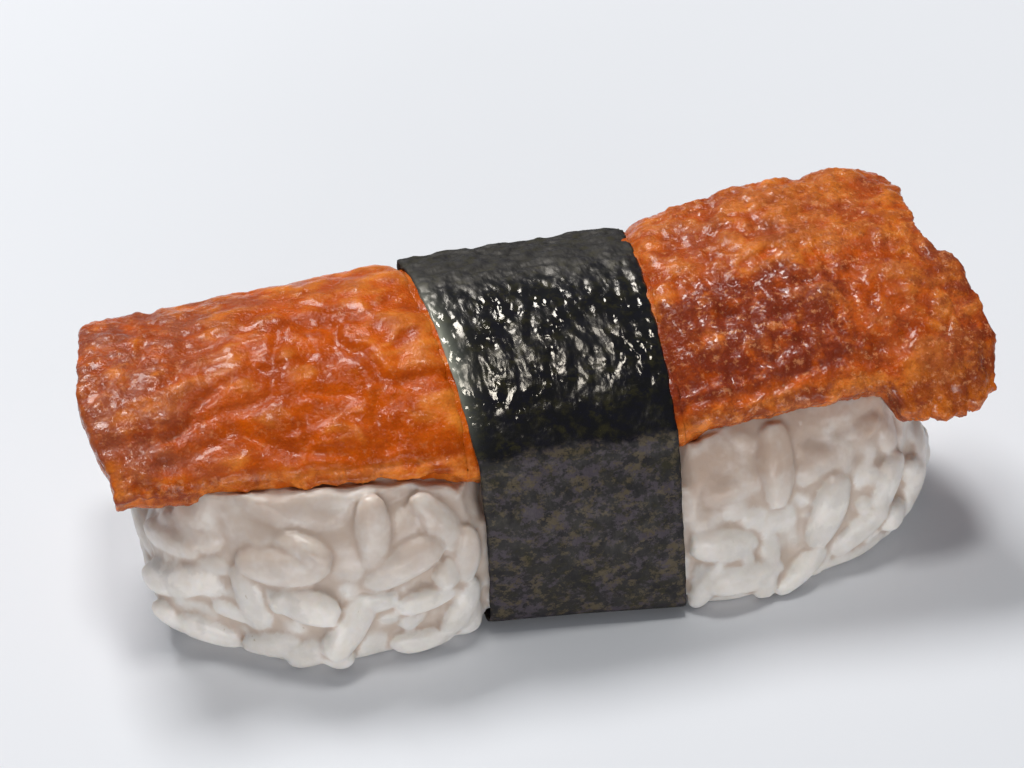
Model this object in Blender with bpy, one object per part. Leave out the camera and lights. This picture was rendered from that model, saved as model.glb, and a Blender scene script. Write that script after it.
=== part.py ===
# Tofu nigiri: a pressed rice block with loose grains, a seasoned tofu slab draped over it
# and a dark seaweed strip wrapped round both. Lengths below are millimetres, +X runs along
# the slab, the front of the piece faces -Y and the rice rests on z = 0.

import math
import random

import bmesh
import bpy
import numpy as np
from mathutils import Matrix, Vector, noise
from mathutils.bvhtree import BVHTree

# Scale and placing
METRE = 0.001
CENTRE = (1.04, -2.47)
GAP = 0.30

# Slab: crest height of the top face along x, and how much it falls away behind the crest
CREST_X = (-41.0, -37.0, -30.0, -22.0, -12.0, -8.0, 13.0, 18.0, 25.0, 33.0, 38.0, 42.0)
CREST_Z = (22.0, 22.2, 22.1, 22.8, 23.4, 23.4, 23.4, 24.3, 25.2, 25.4, 25.2, 24.7)
CREST_Y = 4.5
ARCH = 0.0222
REAR_ARCH_X = (-16.0, 14.0, 24.0, 36.0, 42.0)
REAR_ARCH = (0.0222, 0.0185, 0.0, 0.0, 0.012)
SLAB_THICK = 4.0
SLAB_MIDDLE = 0.5
SLAB_HALF = 12.5
LIP_POWER = 7.0
END_POWER = 22.0
FRONT_X = (-39.0, -29.0, -20.0, -14.0, -8.0, 13.0, 17.0, 23.0, 30.9, 31.9, 35.6, 39.3, 41.0)
FRONT_Y = (-9.2, -9.9, -11.1, -11.7, -12.0, -11.8, -12.0, -12.3, -12.3, -14.4, -15.1, -14.3, -13.2)
REAR_X = (-40.0, -33.6, -32.2, -31.0, 29.8, 31.2, 33.0, 40.0)
REAR_Y = (12.7, 12.9, 12.2, 13.0, 13.0, 12.3, 13.4, 13.1)
LEFT_Y = (-9.6, -7.3, -4.3, -0.8, 3.6, 8.0, 12.1)
LEFT_X = (-38.7, -39.3, -39.9, -40.3, -39.8, -39.2, -38.6)
RIGHT_Y = (-14.7, -13.0, -10.1, -8.3, -4.4, -1.1, -0.2, 1.6, 4.6, 9.0, 12.5)
RIGHT_X = (39.2, 40.9, 42.1, 42.3, 42.0, 41.3, 39.9, 38.8, 39.5, 40.0, 39.2)
SLAB_STATIONS = 50
SLAB_ACROSS = 22
WRINKLE = 0.55
NOISE_SEED = 1796049226
WARP_SCALE = 0.11
CELL_SCALE = (0.16, 0.21)
HUMP_SCALE = (0.09, 0.13)
FINE_SCALE = (0.33, 0.42)
RIM_SCALE = 0.42
RIM_ROUGH = 0.28
END_ROUGH = 0.45
FLAP_FROM = 31.0
FLAP_THINNER = 0.35

# Strip: left and right edge along x at the back top and at the front foot
BAND_LEFT = (-8.4, -7.1)
BAND_RIGHT = (13.4, 10.7)
BAND_BACK = 12.0
BAND_FRONT = -17.0
BAND_THICK = 0.42
BAND_PRESS = 0.85
BAND_CLEAR = 0.9
PRESS_REACH = 2.8
COVER_REACH = 2.4
BAND_COLUMNS = 7
BAND_WAVE = 0.16
BAND_FOOT_X = (-7.0, 2.0, 11.0)
BAND_FOOT_Y = (-16.2, -17.4, -18.9)
BAND_SHOULDER = -12.6
BAND_BACK_ROWS = 10
BAND_LIP_SPARE = 0.7
BAND_LIP = (-13.5, 15.3)
BAND_OVER = (
    (1.0, 0.6), (0.967, 0.4), (0.91, 0.18), (0.8, 0.0), (0.62, 0.0), (0.44, 0.0), (0.26, 0.0), (0.06, 0.0),
    (-0.14, 0.0), (-0.34, 0.0), (-0.54, 0.0), (-0.72, 0.0), (-0.87, 0.06), (-0.965, 0.2),
)

# Rice: outline at the foot and at the shoulder, going round from the left end by the front
FOOT = (
    (-35.5, 0.0), (-34.9, -5.3), (-33.2, -9.4), (-30.0, -13.3), (-24.0, -17.6),
    (-16.0, -18.1), (-9.5, -17.6), (-6.5, -16.2), (2.0, -17.4), (11.0, -18.9),
    (16.0, -19.6), (24.0, -18.2), (29.5, -16.8), (34.0, -13.6), (37.0, -8.5),
    (38.0, -2.0), (37.4, 5.0), (34.8, 11.0), (28.0, 14.2), (16.0, 14.9),
    (4.0, 14.5), (-8.0, 14.7), (-20.0, 14.7), (-29.4, 13.0), (-33.8, 8.6),
)
SHOULDER = (
    (-34.8, 0.5), (-34.6, -5.0), (-33.6, -8.4), (-30.4, -10.8), (-24.5, -11.6),
    (-16.0, -12.0), (-9.5, -12.3), (-6.5, -12.6), (2.0, -12.6), (11.0, -12.6),
    (16.0, -12.3), (24.0, -12.6), (30.0, -12.4), (33.2, -10.6), (35.2, -7.5),
    (36.0, -2.0), (35.6, 4.5), (33.5, 9.5), (28.0, 12.2), (16.0, 12.9),
    (4.0, 13.2), (-8.0, 12.9), (-20.0, 12.6), (-29.4, 11.4), (-33.6, 7.6),
)
WALL_HEIGHT = 17.0
LEAN_X = (-7.0, 11.0)
LEAN = (3.6, 1.8)
END_BULGE = 1.1
CORE_INSET = 1.25
CORE_INSET_BAND = 0.86
CORE_RING = 50
CORE_UNDER_RINGS = (0.45, 0.8)
CORE_LEVELS = (0.0, 0.09, 0.26, 0.44, 0.62, 0.8, 0.93)
CORE_TOP_RINGS = (0.94, 0.84, 0.7, 0.52, 0.32, 0.14)
CORE_TOP_MIDDLE = (0.5, 1.5)
CHANNEL_PLAN = (
    (-7.8, -25.0), (11.4, -25.0), (11.5, -17.0), (13.95, -7.5), (13.95, 25.0), (-9.0, 25.0),
    (-9.0, -7.5), (-7.8, -17.0),
)
BAND_FLOOR = 1.85
GRAIN_LENGTH = 7.2
GRAIN_WIDTH = 3.4
GRAIN_DEPTH = 2.7
GRAIN_SIDES = 5
GRAIN_ROWS = 4
GRAIN_STEPS = 32
GRAIN_SEED = 41
GRAIN_LEVELS = ((0.13, 0.9), (0.38, 0.95), (0.63, 1.0), (0.87, 1.15), (1.02, 2.7))
GRAIN_CLEAR = 0.36
RAY = Vector((0.31, -0.17, 0.93)).normalized()
RAY_STEP = 0.001
BOOLEAN_SOLVER = "EXACT"


def smooth(value, low, high):
    t = min(max((value - low) / (high - low), 0.0), 1.0)
    return t * t * (3.0 - 2.0 * t)


def soft(x, xs, ys, reach):
    """Value of a broken line at x, rounded off over reach on each side."""
    taps = (-1.0, -0.5, 0.0, 0.5, 1.0)
    return sum(float(np.interp(x + reach * tap, xs, ys)) for tap in taps) / len(taps)


def band_edges(y):
    """Left and right edge of the strip where it passes over or in front of depth y."""
    t = min(max((BAND_BACK - y) / (BAND_BACK - BAND_FRONT), 0.0), 1.0)
    left = BAND_LEFT[0] + (BAND_LEFT[1] - BAND_LEFT[0]) * t
    right = BAND_RIGHT[0] + (BAND_RIGHT[1] - BAND_RIGHT[0]) * t
    return left, right


def under_band(x, y, margin, clear=BAND_CLEAR):
    """1 inside the strip's width and clear beyond it, falling to 0 at margin outside it."""
    left, right = band_edges(y)
    from_left = smooth(x, left - margin, left - clear)
    return from_left * (1.0 - smooth(x, right + clear, right + margin))


def middle(x, y, margin=PRESS_REACH, clear=BAND_CLEAR):
    """Height of the slab's middle surface."""
    crest = soft(x, CREST_X, CREST_Z, 2.0) - BAND_PRESS * under_band(x, y, margin, clear)
    fall = ARCH
    if y > CREST_Y:
        fall = soft(x, REAR_ARCH_X, REAR_ARCH, 3.0)
    return crest - SLAB_THICK / 2 - fall * (y - CREST_Y) ** 2


def normal_at(x, y):
    step = 0.05
    run_x = (middle(x + step, y) - middle(x - step, y)) / (2 * step)
    run_y = (middle(x, y + step) - middle(x, y - step)) / (2 * step)
    return Vector((-run_x, -run_y, 1.0)).normalized()


def wrinkle(x, y):
    """Relief of the seasoned skin: soft humps parted by creases, about -1 to 1."""
    warp = 0.6 * noise.noise_vector(Vector((x * WARP_SCALE, y * WARP_SCALE, 3.7)))
    spot = Vector((x * CELL_SCALE[0] + warp.x, y * CELL_SCALE[1] + warp.y, 1.3))
    near = noise.voronoi(spot)[0]
    crease = min((near[1] - near[0]) * 2.2, 1.0)
    hump = noise.noise(Vector((x * HUMP_SCALE[0], y * HUMP_SCALE[1], 8.1)))
    fine = noise.noise(Vector((x * FINE_SCALE[0], y * FINE_SCALE[1], 5.5)))
    return 0.75 * (crease - 0.62) + 0.8 * hump + 0.35 * fine


def rim_noise(x, y, seed):
    return noise.noise(Vector((x * RIM_SCALE, y * RIM_SCALE, seed)))


def slab_point(u, w, side):
    """Point of the slab: u from end to end, w from front to back edge, side 1 top or -1 under."""
    y = SLAB_MIDDLE + SLAB_HALF * w
    left = float(np.interp(y, LEFT_Y, LEFT_X))
    right = float(np.interp(y, RIGHT_Y, RIGHT_X)) + END_ROUGH * rim_noise(40.0, y * 1.6, 2.2)
    x = left + (right - left) * (u + 1.0) / 2
    front = float(np.interp(x, FRONT_X, FRONT_Y)) + RIM_ROUGH * rim_noise(x, -12.0, 6.1)
    back = float(np.interp(x, REAR_X, REAR_Y)) + RIM_ROUGH * rim_noise(x, 13.0, 4.4)
    covered = under_band(x, y, COVER_REACH)
    front += (SLAB_MIDDLE - SLAB_HALF - front) * covered
    back += (SLAB_MIDDLE + SLAB_HALF - back) * covered
    y = front + (back - front) * (w + 1.0) / 2
    covered = under_band(x, y, COVER_REACH)
    half = SLAB_THICK / 2
    half *= max(1.0 - abs(w) ** LIP_POWER, 0.0) ** (1.0 / LIP_POWER)
    half *= max(1.0 - abs(u) ** END_POWER, 0.0) ** (1.0 / END_POWER)
    if x > FLAP_FROM:
        half *= 1.0 - FLAP_THINNER * smooth(-w, 0.7, 1.0)
    normal = normal_at(x, y)
    spot = Vector((x, y, middle(x, y)))
    spot += normal * side * half
    if side > 0:
        spot += normal * WRINKLE * wrinkle(x, y) * (1.0 - covered) * half / (SLAB_THICK / 2)
    return spot


def edge_spacing(count, power):
    """Positions from -1 to 1, closer together toward both ends."""
    spots = []
    for index in range(count):
        t = 2.0 * index / (count - 1) - 1.0
        spots.append(math.copysign(1.0 - (1.0 - abs(t)) ** power, t))
    return spots


def make_object(name, points, faces, look, smooth_faces):
    mesh = bpy.data.meshes.new(name)
    shifted = [((p[0] - CENTRE[0]) * METRE, (p[1] - CENTRE[1]) * METRE, p[2] * METRE) for p in points]
    mesh.from_pydata(shifted, [], faces)
    mesh.validate()
    obj = bpy.data.objects.new(name, mesh)
    bpy.context.scene.collection.objects.link(obj)
    colour, roughness = look
    material = bpy.data.materials.new(name)
    material.use_nodes = True
    shader = material.node_tree.nodes["Principled BSDF"]
    shader.inputs["Base Color"].default_value = (*colour, 1.0)
    shader.inputs["Roughness"].default_value = roughness
    shader.inputs["Metallic"].default_value = 0.0
    mesh.materials.append(material)
    for polygon in mesh.polygons:
        polygon.use_smooth = smooth_faces
    return obj


def slab_mesh():
    """Top and underside grids that share their outer rows."""
    us = edge_spacing(SLAB_STATIONS, 1.25)
    ws = edge_spacing(SLAB_ACROSS, 1.45)
    points = []
    index = {}
    for side in (1, -1):
        for i, u in enumerate(us):
            for j, w in enumerate(ws):
                rim = i in (0, len(us) - 1) or j in (0, len(ws) - 1)
                if rim and side < 0:
                    index[(side, i, j)] = index[(1, i, j)]
                    continue
                index[(side, i, j)] = len(points)
                points.append(slab_point(u, w, 0 if rim else side))
    faces = []
    for side in (1, -1):
        for i in range(len(us) - 1):
            for j in range(len(ws) - 1):
                a, b = index[(side, i, j)], index[(side, i + 1, j)]
                c, d = index[(side, i + 1, j + 1)], index[(side, i, j + 1)]
                corner = (i, j) in ((0, len(ws) - 2), (len(us) - 2, 0))
                pair = [(a, b, d), (b, c, d)] if corner else [(a, b, c), (a, c, d)]
                faces += pair if side > 0 else [face[::-1] for face in pair]
    return points, faces


def lean_share(x, z):
    """How far the wall stands out at height z, 1 at the foot and 0 at the shoulder."""
    power = float(np.interp(x, LEAN_X, LEAN))
    return 1.0 - min(max(z, 0.0) / WALL_HEIGHT, 1.0) ** power


def spline(points, t):
    """Closed curve through the points, t from 0 to 1."""
    count = len(points)
    place = (t % 1.0) * count
    k = int(place)
    f = place - k
    p = [Vector(points[(k + n) % count]) for n in (-1, 0, 1, 2)]
    line = 2.0 * p[1] + (p[2] - p[0]) * f
    line += (2.0 * p[0] - 5.0 * p[1] + 4.0 * p[2] - p[3]) * f * f
    line += (3.0 * p[1] - p[0] - 3.0 * p[2] + p[3]) * f * f * f
    return line * 0.5


def ceiling(x, y):
    """Highest level the rice may reach at x, y: just under the slab, level beyond its edges."""
    front = float(np.interp(x, FRONT_X, FRONT_Y))
    inner = min(max(y, max(front, -12.2)), 12.6)
    slope = normal_at(x, inner)
    return middle(x, inner, 6.5, 3.0) - (SLAB_THICK / 2 + GAP + 0.15) / slope.z


def wall(t, z, inset):
    """Point of the rice wall at turn t and height z, drawn in by inset."""
    foot = spline(FOOT, t)
    top = spline(SHOULDER, t)
    after = spline(FOOT, t + 0.004)
    before = spline(FOOT, t - 0.004)
    along = (after - before).normalized()
    outward = Vector((along.y, -along.x))
    share = lean_share(foot.x, z)
    spot = top + (foot - top) * share
    ends = smooth(abs(foot.x - 0.5), 28.0, 36.0)
    spot += outward * END_BULGE * ends * math.sin(math.pi * min(z / 13.0, 1.0))
    tuck = (1.0 - min(z / 1.6, 1.0)) ** 2
    return spot - outward * (inset + 1.1 * tuck)


def core_mesh():
    """Rings from the flat underside up the wall and over the top to a middle point."""
    points = []
    rings = []
    for shrink in CORE_UNDER_RINGS:
        ring = []
        for k in range(CORE_RING):
            spot = wall(k / CORE_RING, 0.0, CORE_INSET) * shrink
            ring.append((spot.x, spot.y, 0.0))
        rings.append(ring)
    for level in CORE_LEVELS:
        ring = []
        for k in range(CORE_RING):
            t = k / CORE_RING
            guess = wall(t, 8.0, CORE_INSET)
            high = ceiling(guess.x, guess.y)
            z = level * high
            covered = under_band(guess.x, guess.y, 1.8)
            inset = CORE_INSET + (CORE_INSET_BAND - CORE_INSET) * covered
            spot = wall(t, z, inset)
            ring.append((spot.x, spot.y, z))
        rings.append(ring)
    rim = rings[-1]
    for shrink in CORE_TOP_RINGS:
        ring = []
        for x, y, z in rim:
            sx = CORE_TOP_MIDDLE[0] + (x - CORE_TOP_MIDDLE[0]) * shrink
            sy = CORE_TOP_MIDDLE[1] + (y - CORE_TOP_MIDDLE[1]) * shrink
            ring.append((sx, sy, ceiling(sx, sy)))
        rings.append(ring)
    for ring in rings:
        points += ring
    faces = []
    for r in range(len(rings) - 1):
        for k in range(CORE_RING):
            a = r * CORE_RING + k
            b = r * CORE_RING + (k + 1) % CORE_RING
            faces += [(a, b, b + CORE_RING), (a, b + CORE_RING, a + CORE_RING)]
    low = len(points)
    points.append((0.5, -1.5, 0.0))
    high = len(points)
    points.append((*CORE_TOP_MIDDLE, ceiling(*CORE_TOP_MIDDLE)))
    last = (len(rings) - 1) * CORE_RING
    for k in range(CORE_RING):
        n = (k + 1) % CORE_RING
        faces.append((low, n, k))
        faces.append((high, last + k, last + n))
    return points, faces


def channel_mesh():
    """Wedge under the strip's width that the core's underside is cut by."""
    count = len(CHANNEL_PLAN)
    points = [(x, y, z) for z in (-1.0, BAND_FLOOR) for x, y in CHANNEL_PLAN]
    faces = [tuple(range(count))[::-1], tuple(range(count, 2 * count))]
    for k in range(count):
        n = (k + 1) % count
        faces.append((k, n, n + count, k + count))
    return points, faces


def band_path(x):
    """Middle line of the strip in y, z at x, from its inner end underneath, over the top, to
    its outer end lapped below."""
    foot = float(np.interp(x, BAND_FOOT_X, BAND_FOOT_Y))
    half = BAND_THICK / 2
    low = GAP + half
    high = low + BAND_THICK + GAP + 0.02
    path = [(-6.5, high), (-2.0, high), (2.2, high), (4.2, (low + high) / 2), (6.2, low), (11.0, low)]
    path += [(13.3, low + 0.35), (14.2, 1.9), (14.4, 5.0), (14.4, 10.0), (14.2, 15.0)]
    off = GAP + half + 0.06
    for w, lean in BAND_OVER:
        y = SLAB_MIDDLE + SLAB_HALF * w
        thick = SLAB_THICK / 2 * (1.0 - abs(w) ** LIP_POWER) ** (1.0 / LIP_POWER)
        normal = normal_at(x, y)
        outward = Vector((normal.y, normal.z)).normalized()
        across = Vector((outward.y, -outward.x)) * math.copysign(1.0, w)
        push = (outward * (1.0 - lean) + across * lean).normalized()
        spot = Vector((y, middle(x, y))) + outward * thick + push * (off + BAND_LIP_SPARE * lean)
        path.append((spot.x, spot.y))
    path.append(BAND_LIP)
    for z in (12.6, 9.4, 6.2, 3.2, 1.5):
        y = BAND_SHOULDER + (foot - BAND_SHOULDER) * lean_share(x, z) + half
        path.append((y, z))
    path += [(foot + 1.3, low + 0.12), (foot + 3.5, low), (-8.0, low), (-3.0, low), (1.3, low)]
    return path


def band_mesh():
    columns = BAND_COLUMNS
    grid = []
    for c in range(columns):
        share = c / (columns - 1)
        row = band_path(BAND_LEFT[1] + share * (BAND_RIGHT[1] - BAND_LEFT[1]))
        line = []
        for k, (y, z) in enumerate(row):
            left, right = band_edges(y if k > BAND_BACK_ROWS else BAND_BACK)
            edge = 0.15 * noise.noise(Vector((k * 0.9, 7.7 * round(share), 3.1)))
            x = left + (right - left) * share + edge * abs(2.0 * share - 1.0)
            line.append(Vector((x, y, z)))
        grid.append(line)
    rows = len(grid[0])
    outer = []
    inner = []
    for c in range(columns):
        for k in range(rows):
            ahead = grid[c][min(k + 1, rows - 1)]
            behind = grid[c][max(k - 1, 0)]
            right = grid[min(c + 1, columns - 1)][k]
            left = grid[max(c - 1, 0)][k]
            normal = (right - left).cross(ahead - behind).normalized()
            free = 11 <= k <= rows - 6
            wave = 0.0
            if free:
                wave = BAND_WAVE * max(noise.noise(Vector((c * 0.7, k * 0.8, 2.9))) + 0.35, 0.0)
            spot = grid[c][k] + normal * wave
            outer.append(spot + normal * BAND_THICK / 2)
            inner.append(spot - normal * BAND_THICK / 2)
    points = outer + inner
    offset = len(outer)
    faces = []
    for c in range(columns - 1):
        for k in range(rows - 1):
            a = c * rows + k
            b = a + 1
            d = a + rows
            e = d + 1
            faces += [(a, d, e), (a, e, b)]
            faces += [(a + offset, e + offset, d + offset), (a + offset, b + offset, e + offset)]
    for k in range(rows - 1):
        a = k
        b = k + 1
        faces += [(a, b, b + offset), (a, b + offset, a + offset)]
        a = (columns - 1) * rows + k
        b = a + 1
        faces += [(a, b + offset, b), (a, a + offset, b + offset)]
    for c in range(columns - 1):
        a = c * rows
        b = a + rows
        faces += [(a, b + offset, b), (a, a + offset, b + offset)]
        a = c * rows + rows - 1
        b = a + rows
        faces += [(a, b, b + offset), (a, b + offset, a + offset)]
    return points, faces


def grain_shape(length, width, depth):
    """One grain about its own centre, long axis x, with few sides."""
    points = [(-length / 2, 0.0, 0.0)]
    for r in range(1, GRAIN_ROWS):
        angle = math.pi * r / GRAIN_ROWS
        along = -math.cos(angle) * length / 2
        girth = math.sin(angle) ** 0.75
        for s in range(GRAIN_SIDES):
            turn = 2.0 * math.pi * (s + 0.5 * (r % 2)) / GRAIN_SIDES
            points.append((along, math.cos(turn) * girth * width / 2, math.sin(turn) * girth * depth / 2))
    points.append((length / 2, 0.0, 0.0))
    faces = []
    tip = len(points) - 1
    for s in range(GRAIN_SIDES):
        n = (s + 1) % GRAIN_SIDES
        faces.append((0, 1 + n, 1 + s))
        last = 1 + (GRAIN_ROWS - 2) * GRAIN_SIDES
        faces.append((tip, last + s, last + n))
        for r in range(GRAIN_ROWS - 2):
            a = 1 + r * GRAIN_SIDES + s
            b = 1 + r * GRAIN_SIDES + n
            c = a + GRAIN_SIDES
            d = b + GRAIN_SIDES
            if r % 2:
                faces += [(a, b, c), (b, d, c)]
            else:
                faces += [(a, b, d), (a, d, c)]
    return points, faces


def grain_frames():
    """Places of the grains on the wall, as position, turn and size, largest first."""
    draw = random.Random(GRAIN_SEED)
    frames = []
    for row, (share, sink) in enumerate(GRAIN_LEVELS):
        for k in range(GRAIN_STEPS):
            t = (k + 0.5 * (row % 2) + draw.uniform(-0.28, 0.28)) / GRAIN_STEPS
            size = draw.uniform(0.82, 1.14)
            guess = wall(t, 8.0, 0.0)
            high = ceiling(guess.x, guess.y)
            z = max(high * (share + draw.uniform(-0.07, 0.07)), 1.75)
            centre = wall(t, z, sink)
            ahead = wall(t + 0.004, z, sink)
            above = wall(t, z + 0.4, sink)
            side = (Vector((ahead.x, ahead.y, z)) - Vector((centre.x, centre.y, z))).normalized()
            rise = (Vector((above.x, above.y, z + 0.4)) - Vector((centre.x, centre.y, z))).normalized()
            out = side.cross(rise).normalized()
            rise = out.cross(side)
            roll = draw.uniform(-1.25, 1.25)
            lift = draw.uniform(-0.35, 0.45)
            axis = (side * math.cos(roll) + rise * math.sin(roll)) * math.cos(lift) + out * math.sin(lift)
            frames.append((size, Vector((centre.x, centre.y, z)), axis.normalized(), out))
    frames.sort(key=lambda frame: -frame[0])
    return frames


def clear_of(tree, point, least):
    """The point lies outside the closed surface, at least that far from it."""
    if tree.find_nearest(point)[3] < least:
        return False
    crossings = 0
    start = point.copy()
    while True:
        hit = tree.ray_cast(start, RAY)[0]
        if hit is None:
            return crossings % 2 == 0
        crossings += 1
        start = hit + RAY * RAY_STEP


def placed_grains(trees):
    """Grains that cross neither the slab nor the strip, moved or shortened where needed."""
    kept = []
    for size, centre, axis, out in grain_frames():
        for shrink, shift in ((1.0, 0.0), (1.0, 0.7), (0.85, 0.5), (0.7, 0.9), (0.62, 1.5)):
            points, faces = grain_shape(GRAIN_LENGTH * size * shrink, GRAIN_WIDTH * size, GRAIN_DEPTH * size)
            across = out.cross(axis).normalized()
            up = axis.cross(across)
            turn = Matrix((axis, across, up)).transposed()
            drop = Vector((0.0, 0.0, -shift * (1.0 if centre.z > 6.0 else 0.0)))
            spots = [turn @ Vector(p) + centre + drop for p in points]
            low = min(p.z for p in spots)
            if low < 0.12:
                spots = [p + Vector((0.0, 0.0, 0.12 - low)) for p in spots]
            if all(clear_of(tree, p, GRAIN_CLEAR) for tree in trees for p in spots):
                kept.append((spots, faces))
                break
    return kept


def rice_object(trees):
    points, faces = core_mesh()
    look = ((0.68, 0.65, 0.58), 0.45)
    rice = make_object("rice", points, faces, look, False)
    pile = bpy.data.collections.new("grains")
    bpy.context.scene.collection.children.link(pile)
    grains = []
    for number, (spots, sides) in enumerate(placed_grains(trees)):
        grain = make_object("grain_%03d" % number, spots, sides, look, False)
        bpy.context.scene.collection.objects.unlink(grain)
        pile.objects.link(grain)
        grains.append(grain)
    cutter = make_object("channel", *channel_mesh(), look, False)
    cutter.hide_render = True
    cutter.display_type = "WIRE"
    cut = rice.modifiers.new("cut", "BOOLEAN")
    cut.operation = "DIFFERENCE"
    cut.object = cutter
    cut.solver = BOOLEAN_SOLVER
    join = rice.modifiers.new("join", "BOOLEAN")
    join.operation = "UNION"
    join.operand_type = "COLLECTION"
    join.collection = pile
    join.solver = BOOLEAN_SOLVER
    bpy.context.view_layer.update()
    graph = bpy.context.evaluated_depsgraph_get()
    joined = bpy.data.meshes.new_from_object(rice.evaluated_get(graph))
    rice.modifiers.clear()
    rice.data = joined
    for grain in grains + [cutter]:
        bpy.data.objects.remove(grain)
    bpy.data.collections.remove(pile)
    keep_largest_shell(rice)
    for polygon in rice.data.polygons:
        polygon.use_smooth = False
    return rice


def keep_largest_shell(obj):
    """Loose scrap and sealed hollows are shells of their own; only the outer one stays."""
    work = bmesh.new()
    work.from_mesh(obj.data)
    bmesh.ops.remove_doubles(work, verts=work.verts, dist=0.00001)
    bmesh.ops.triangulate(work, faces=work.faces)
    left = set(work.verts)
    shells = []
    while left:
        start = left.pop()
        shell = {start}
        front = [start]
        while front:
            for edge in front.pop().link_edges:
                for vert in edge.verts:
                    if vert in left:
                        left.remove(vert)
                        shell.add(vert)
                        front.append(vert)
        shells.append(shell)
    shells.sort(key=len)
    for shell in shells[:-1]:
        bmesh.ops.delete(work, geom=list(shell), context="VERTS")
    work.to_mesh(obj.data)
    work.free()


def tree_of(points, faces):
    return BVHTree.FromPolygons([Vector(p) for p in points], faces)


def main():
    for obj in list(bpy.data.objects):
        bpy.data.objects.remove(obj)
    # Without a seed, Blender's vector noise takes one from the clock
    noise.seed_set(NOISE_SEED)
    slab_points, slab_faces = slab_mesh()
    band_points, band_faces = band_mesh()
    make_object("tofu", slab_points, slab_faces, ((0.48, 0.13, 0.035), 0.35), True)
    make_object("nori", band_points, band_faces, ((0.012, 0.014, 0.012), 0.4), True)
    rice_object([tree_of(slab_points, slab_faces), tree_of(band_points, band_faces)])


main()
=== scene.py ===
"""Tofu nigiri: pressed rice, a seasoned tofu slab and a seaweed strip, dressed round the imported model."""

import math
import random

import bpy
import numpy as np
from bpy.props import FloatProperty, FloatVectorProperty, IntProperty, PointerProperty
from mathutils import Matrix, Vector, noise
from mathutils.bvhtree import BVHTree
from mathutils.kdtree import KDTree


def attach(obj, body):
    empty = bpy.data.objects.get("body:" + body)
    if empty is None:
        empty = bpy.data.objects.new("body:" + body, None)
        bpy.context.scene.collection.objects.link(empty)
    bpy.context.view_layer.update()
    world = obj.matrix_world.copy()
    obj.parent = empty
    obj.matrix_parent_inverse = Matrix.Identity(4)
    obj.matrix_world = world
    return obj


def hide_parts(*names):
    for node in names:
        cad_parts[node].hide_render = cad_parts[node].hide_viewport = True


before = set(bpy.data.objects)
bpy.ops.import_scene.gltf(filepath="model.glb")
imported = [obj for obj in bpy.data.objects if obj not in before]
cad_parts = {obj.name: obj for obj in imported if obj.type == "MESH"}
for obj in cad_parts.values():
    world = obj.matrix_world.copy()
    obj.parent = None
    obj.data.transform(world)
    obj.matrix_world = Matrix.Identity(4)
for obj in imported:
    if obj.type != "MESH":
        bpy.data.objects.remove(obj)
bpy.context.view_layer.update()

bl_info = {
    "name": "Tofu Nigiri",
    "version": (1, 0, 0),
    "blender": (4, 5, 0),
    "location": "View3D > Sidebar > Nigiri",
    "description": "Makes a piece of nigiri: pressed rice, a seasoned tofu slab and a seaweed strip",
    "category": "Add Mesh",
}

# Placing. Shapes below are worked out in millimetres about the middle of the rice.
METRE = 0.001
CENTRE = np.array((1.04, -2.47, 0.0))
GAP = 0.30

# Slab: crest height of the top face along x, how much it falls away, and its outline
CREST_X = (-41.0, -37.0, -30.0, -22.0, -12.0, -8.0, 13.0, 18.0, 25.0, 33.0, 38.0, 42.0)
CREST_Z = (22.0, 22.2, 22.1, 22.8, 23.4, 23.4, 23.4, 24.3, 25.2, 25.4, 25.2, 24.7)
CREST_Y = 4.5
ARCH = 0.0222
REAR_ARCH_X = (-16.0, 14.0, 24.0, 36.0, 42.0)
REAR_ARCH = (0.0222, 0.0185, 0.0, 0.0, 0.012)
SLAB_THICK = 4.0
SLAB_MIDDLE = 0.5
SLAB_HALF = 12.5
SLAB_HALF_LENGTH = 41.0
LIP_POWER = 7.0
END_POWER = 22.0
FRONT_X = (-39.0, -29.0, -20.0, -14.0, -8.0, 13.0, 17.0, 23.0, 30.9, 31.9, 35.6, 39.3, 41.0)
FRONT_Y = (-9.2, -9.9, -11.1, -11.7, -12.0, -11.8, -12.0, -12.3, -12.3, -14.4, -15.1, -14.3, -13.2)
REAR_X = (-40.0, -33.6, -32.2, -31.0, 29.8, 31.2, 33.0, 40.0)
REAR_Y = (12.7, 12.9, 12.2, 13.0, 13.0, 12.3, 13.4, 13.1)
LEFT_Y = (-9.6, -7.3, -4.3, -0.8, 3.6, 8.0, 12.1)
LEFT_X = (-38.7, -39.3, -39.9, -40.3, -39.8, -39.2, -38.6)
RIGHT_Y = (-14.7, -13.0, -10.1, -8.3, -4.4, -1.1, -0.2, 1.6, 4.6, 9.0, 12.5)
RIGHT_X = (39.2, 40.9, 42.1, 42.3, 42.0, 41.3, 39.9, 38.8, 39.5, 40.0, 39.2)
NOISE_SEED = 7
WARP_SCALE = 0.11
CELL_SCALE = (0.16, 0.21)
HUMP_SCALE = (0.09, 0.13)
FINE_SCALE = (0.33, 0.42)
RIM_SCALE = 0.42
RIM_ROUGH = 0.28
END_ROUGH = 0.45
FLAP_FROM = 31.0
FLAP_THINNER = 0.35
SLAB_COLUMNS = 380
SLAB_ROWS = 122

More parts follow.
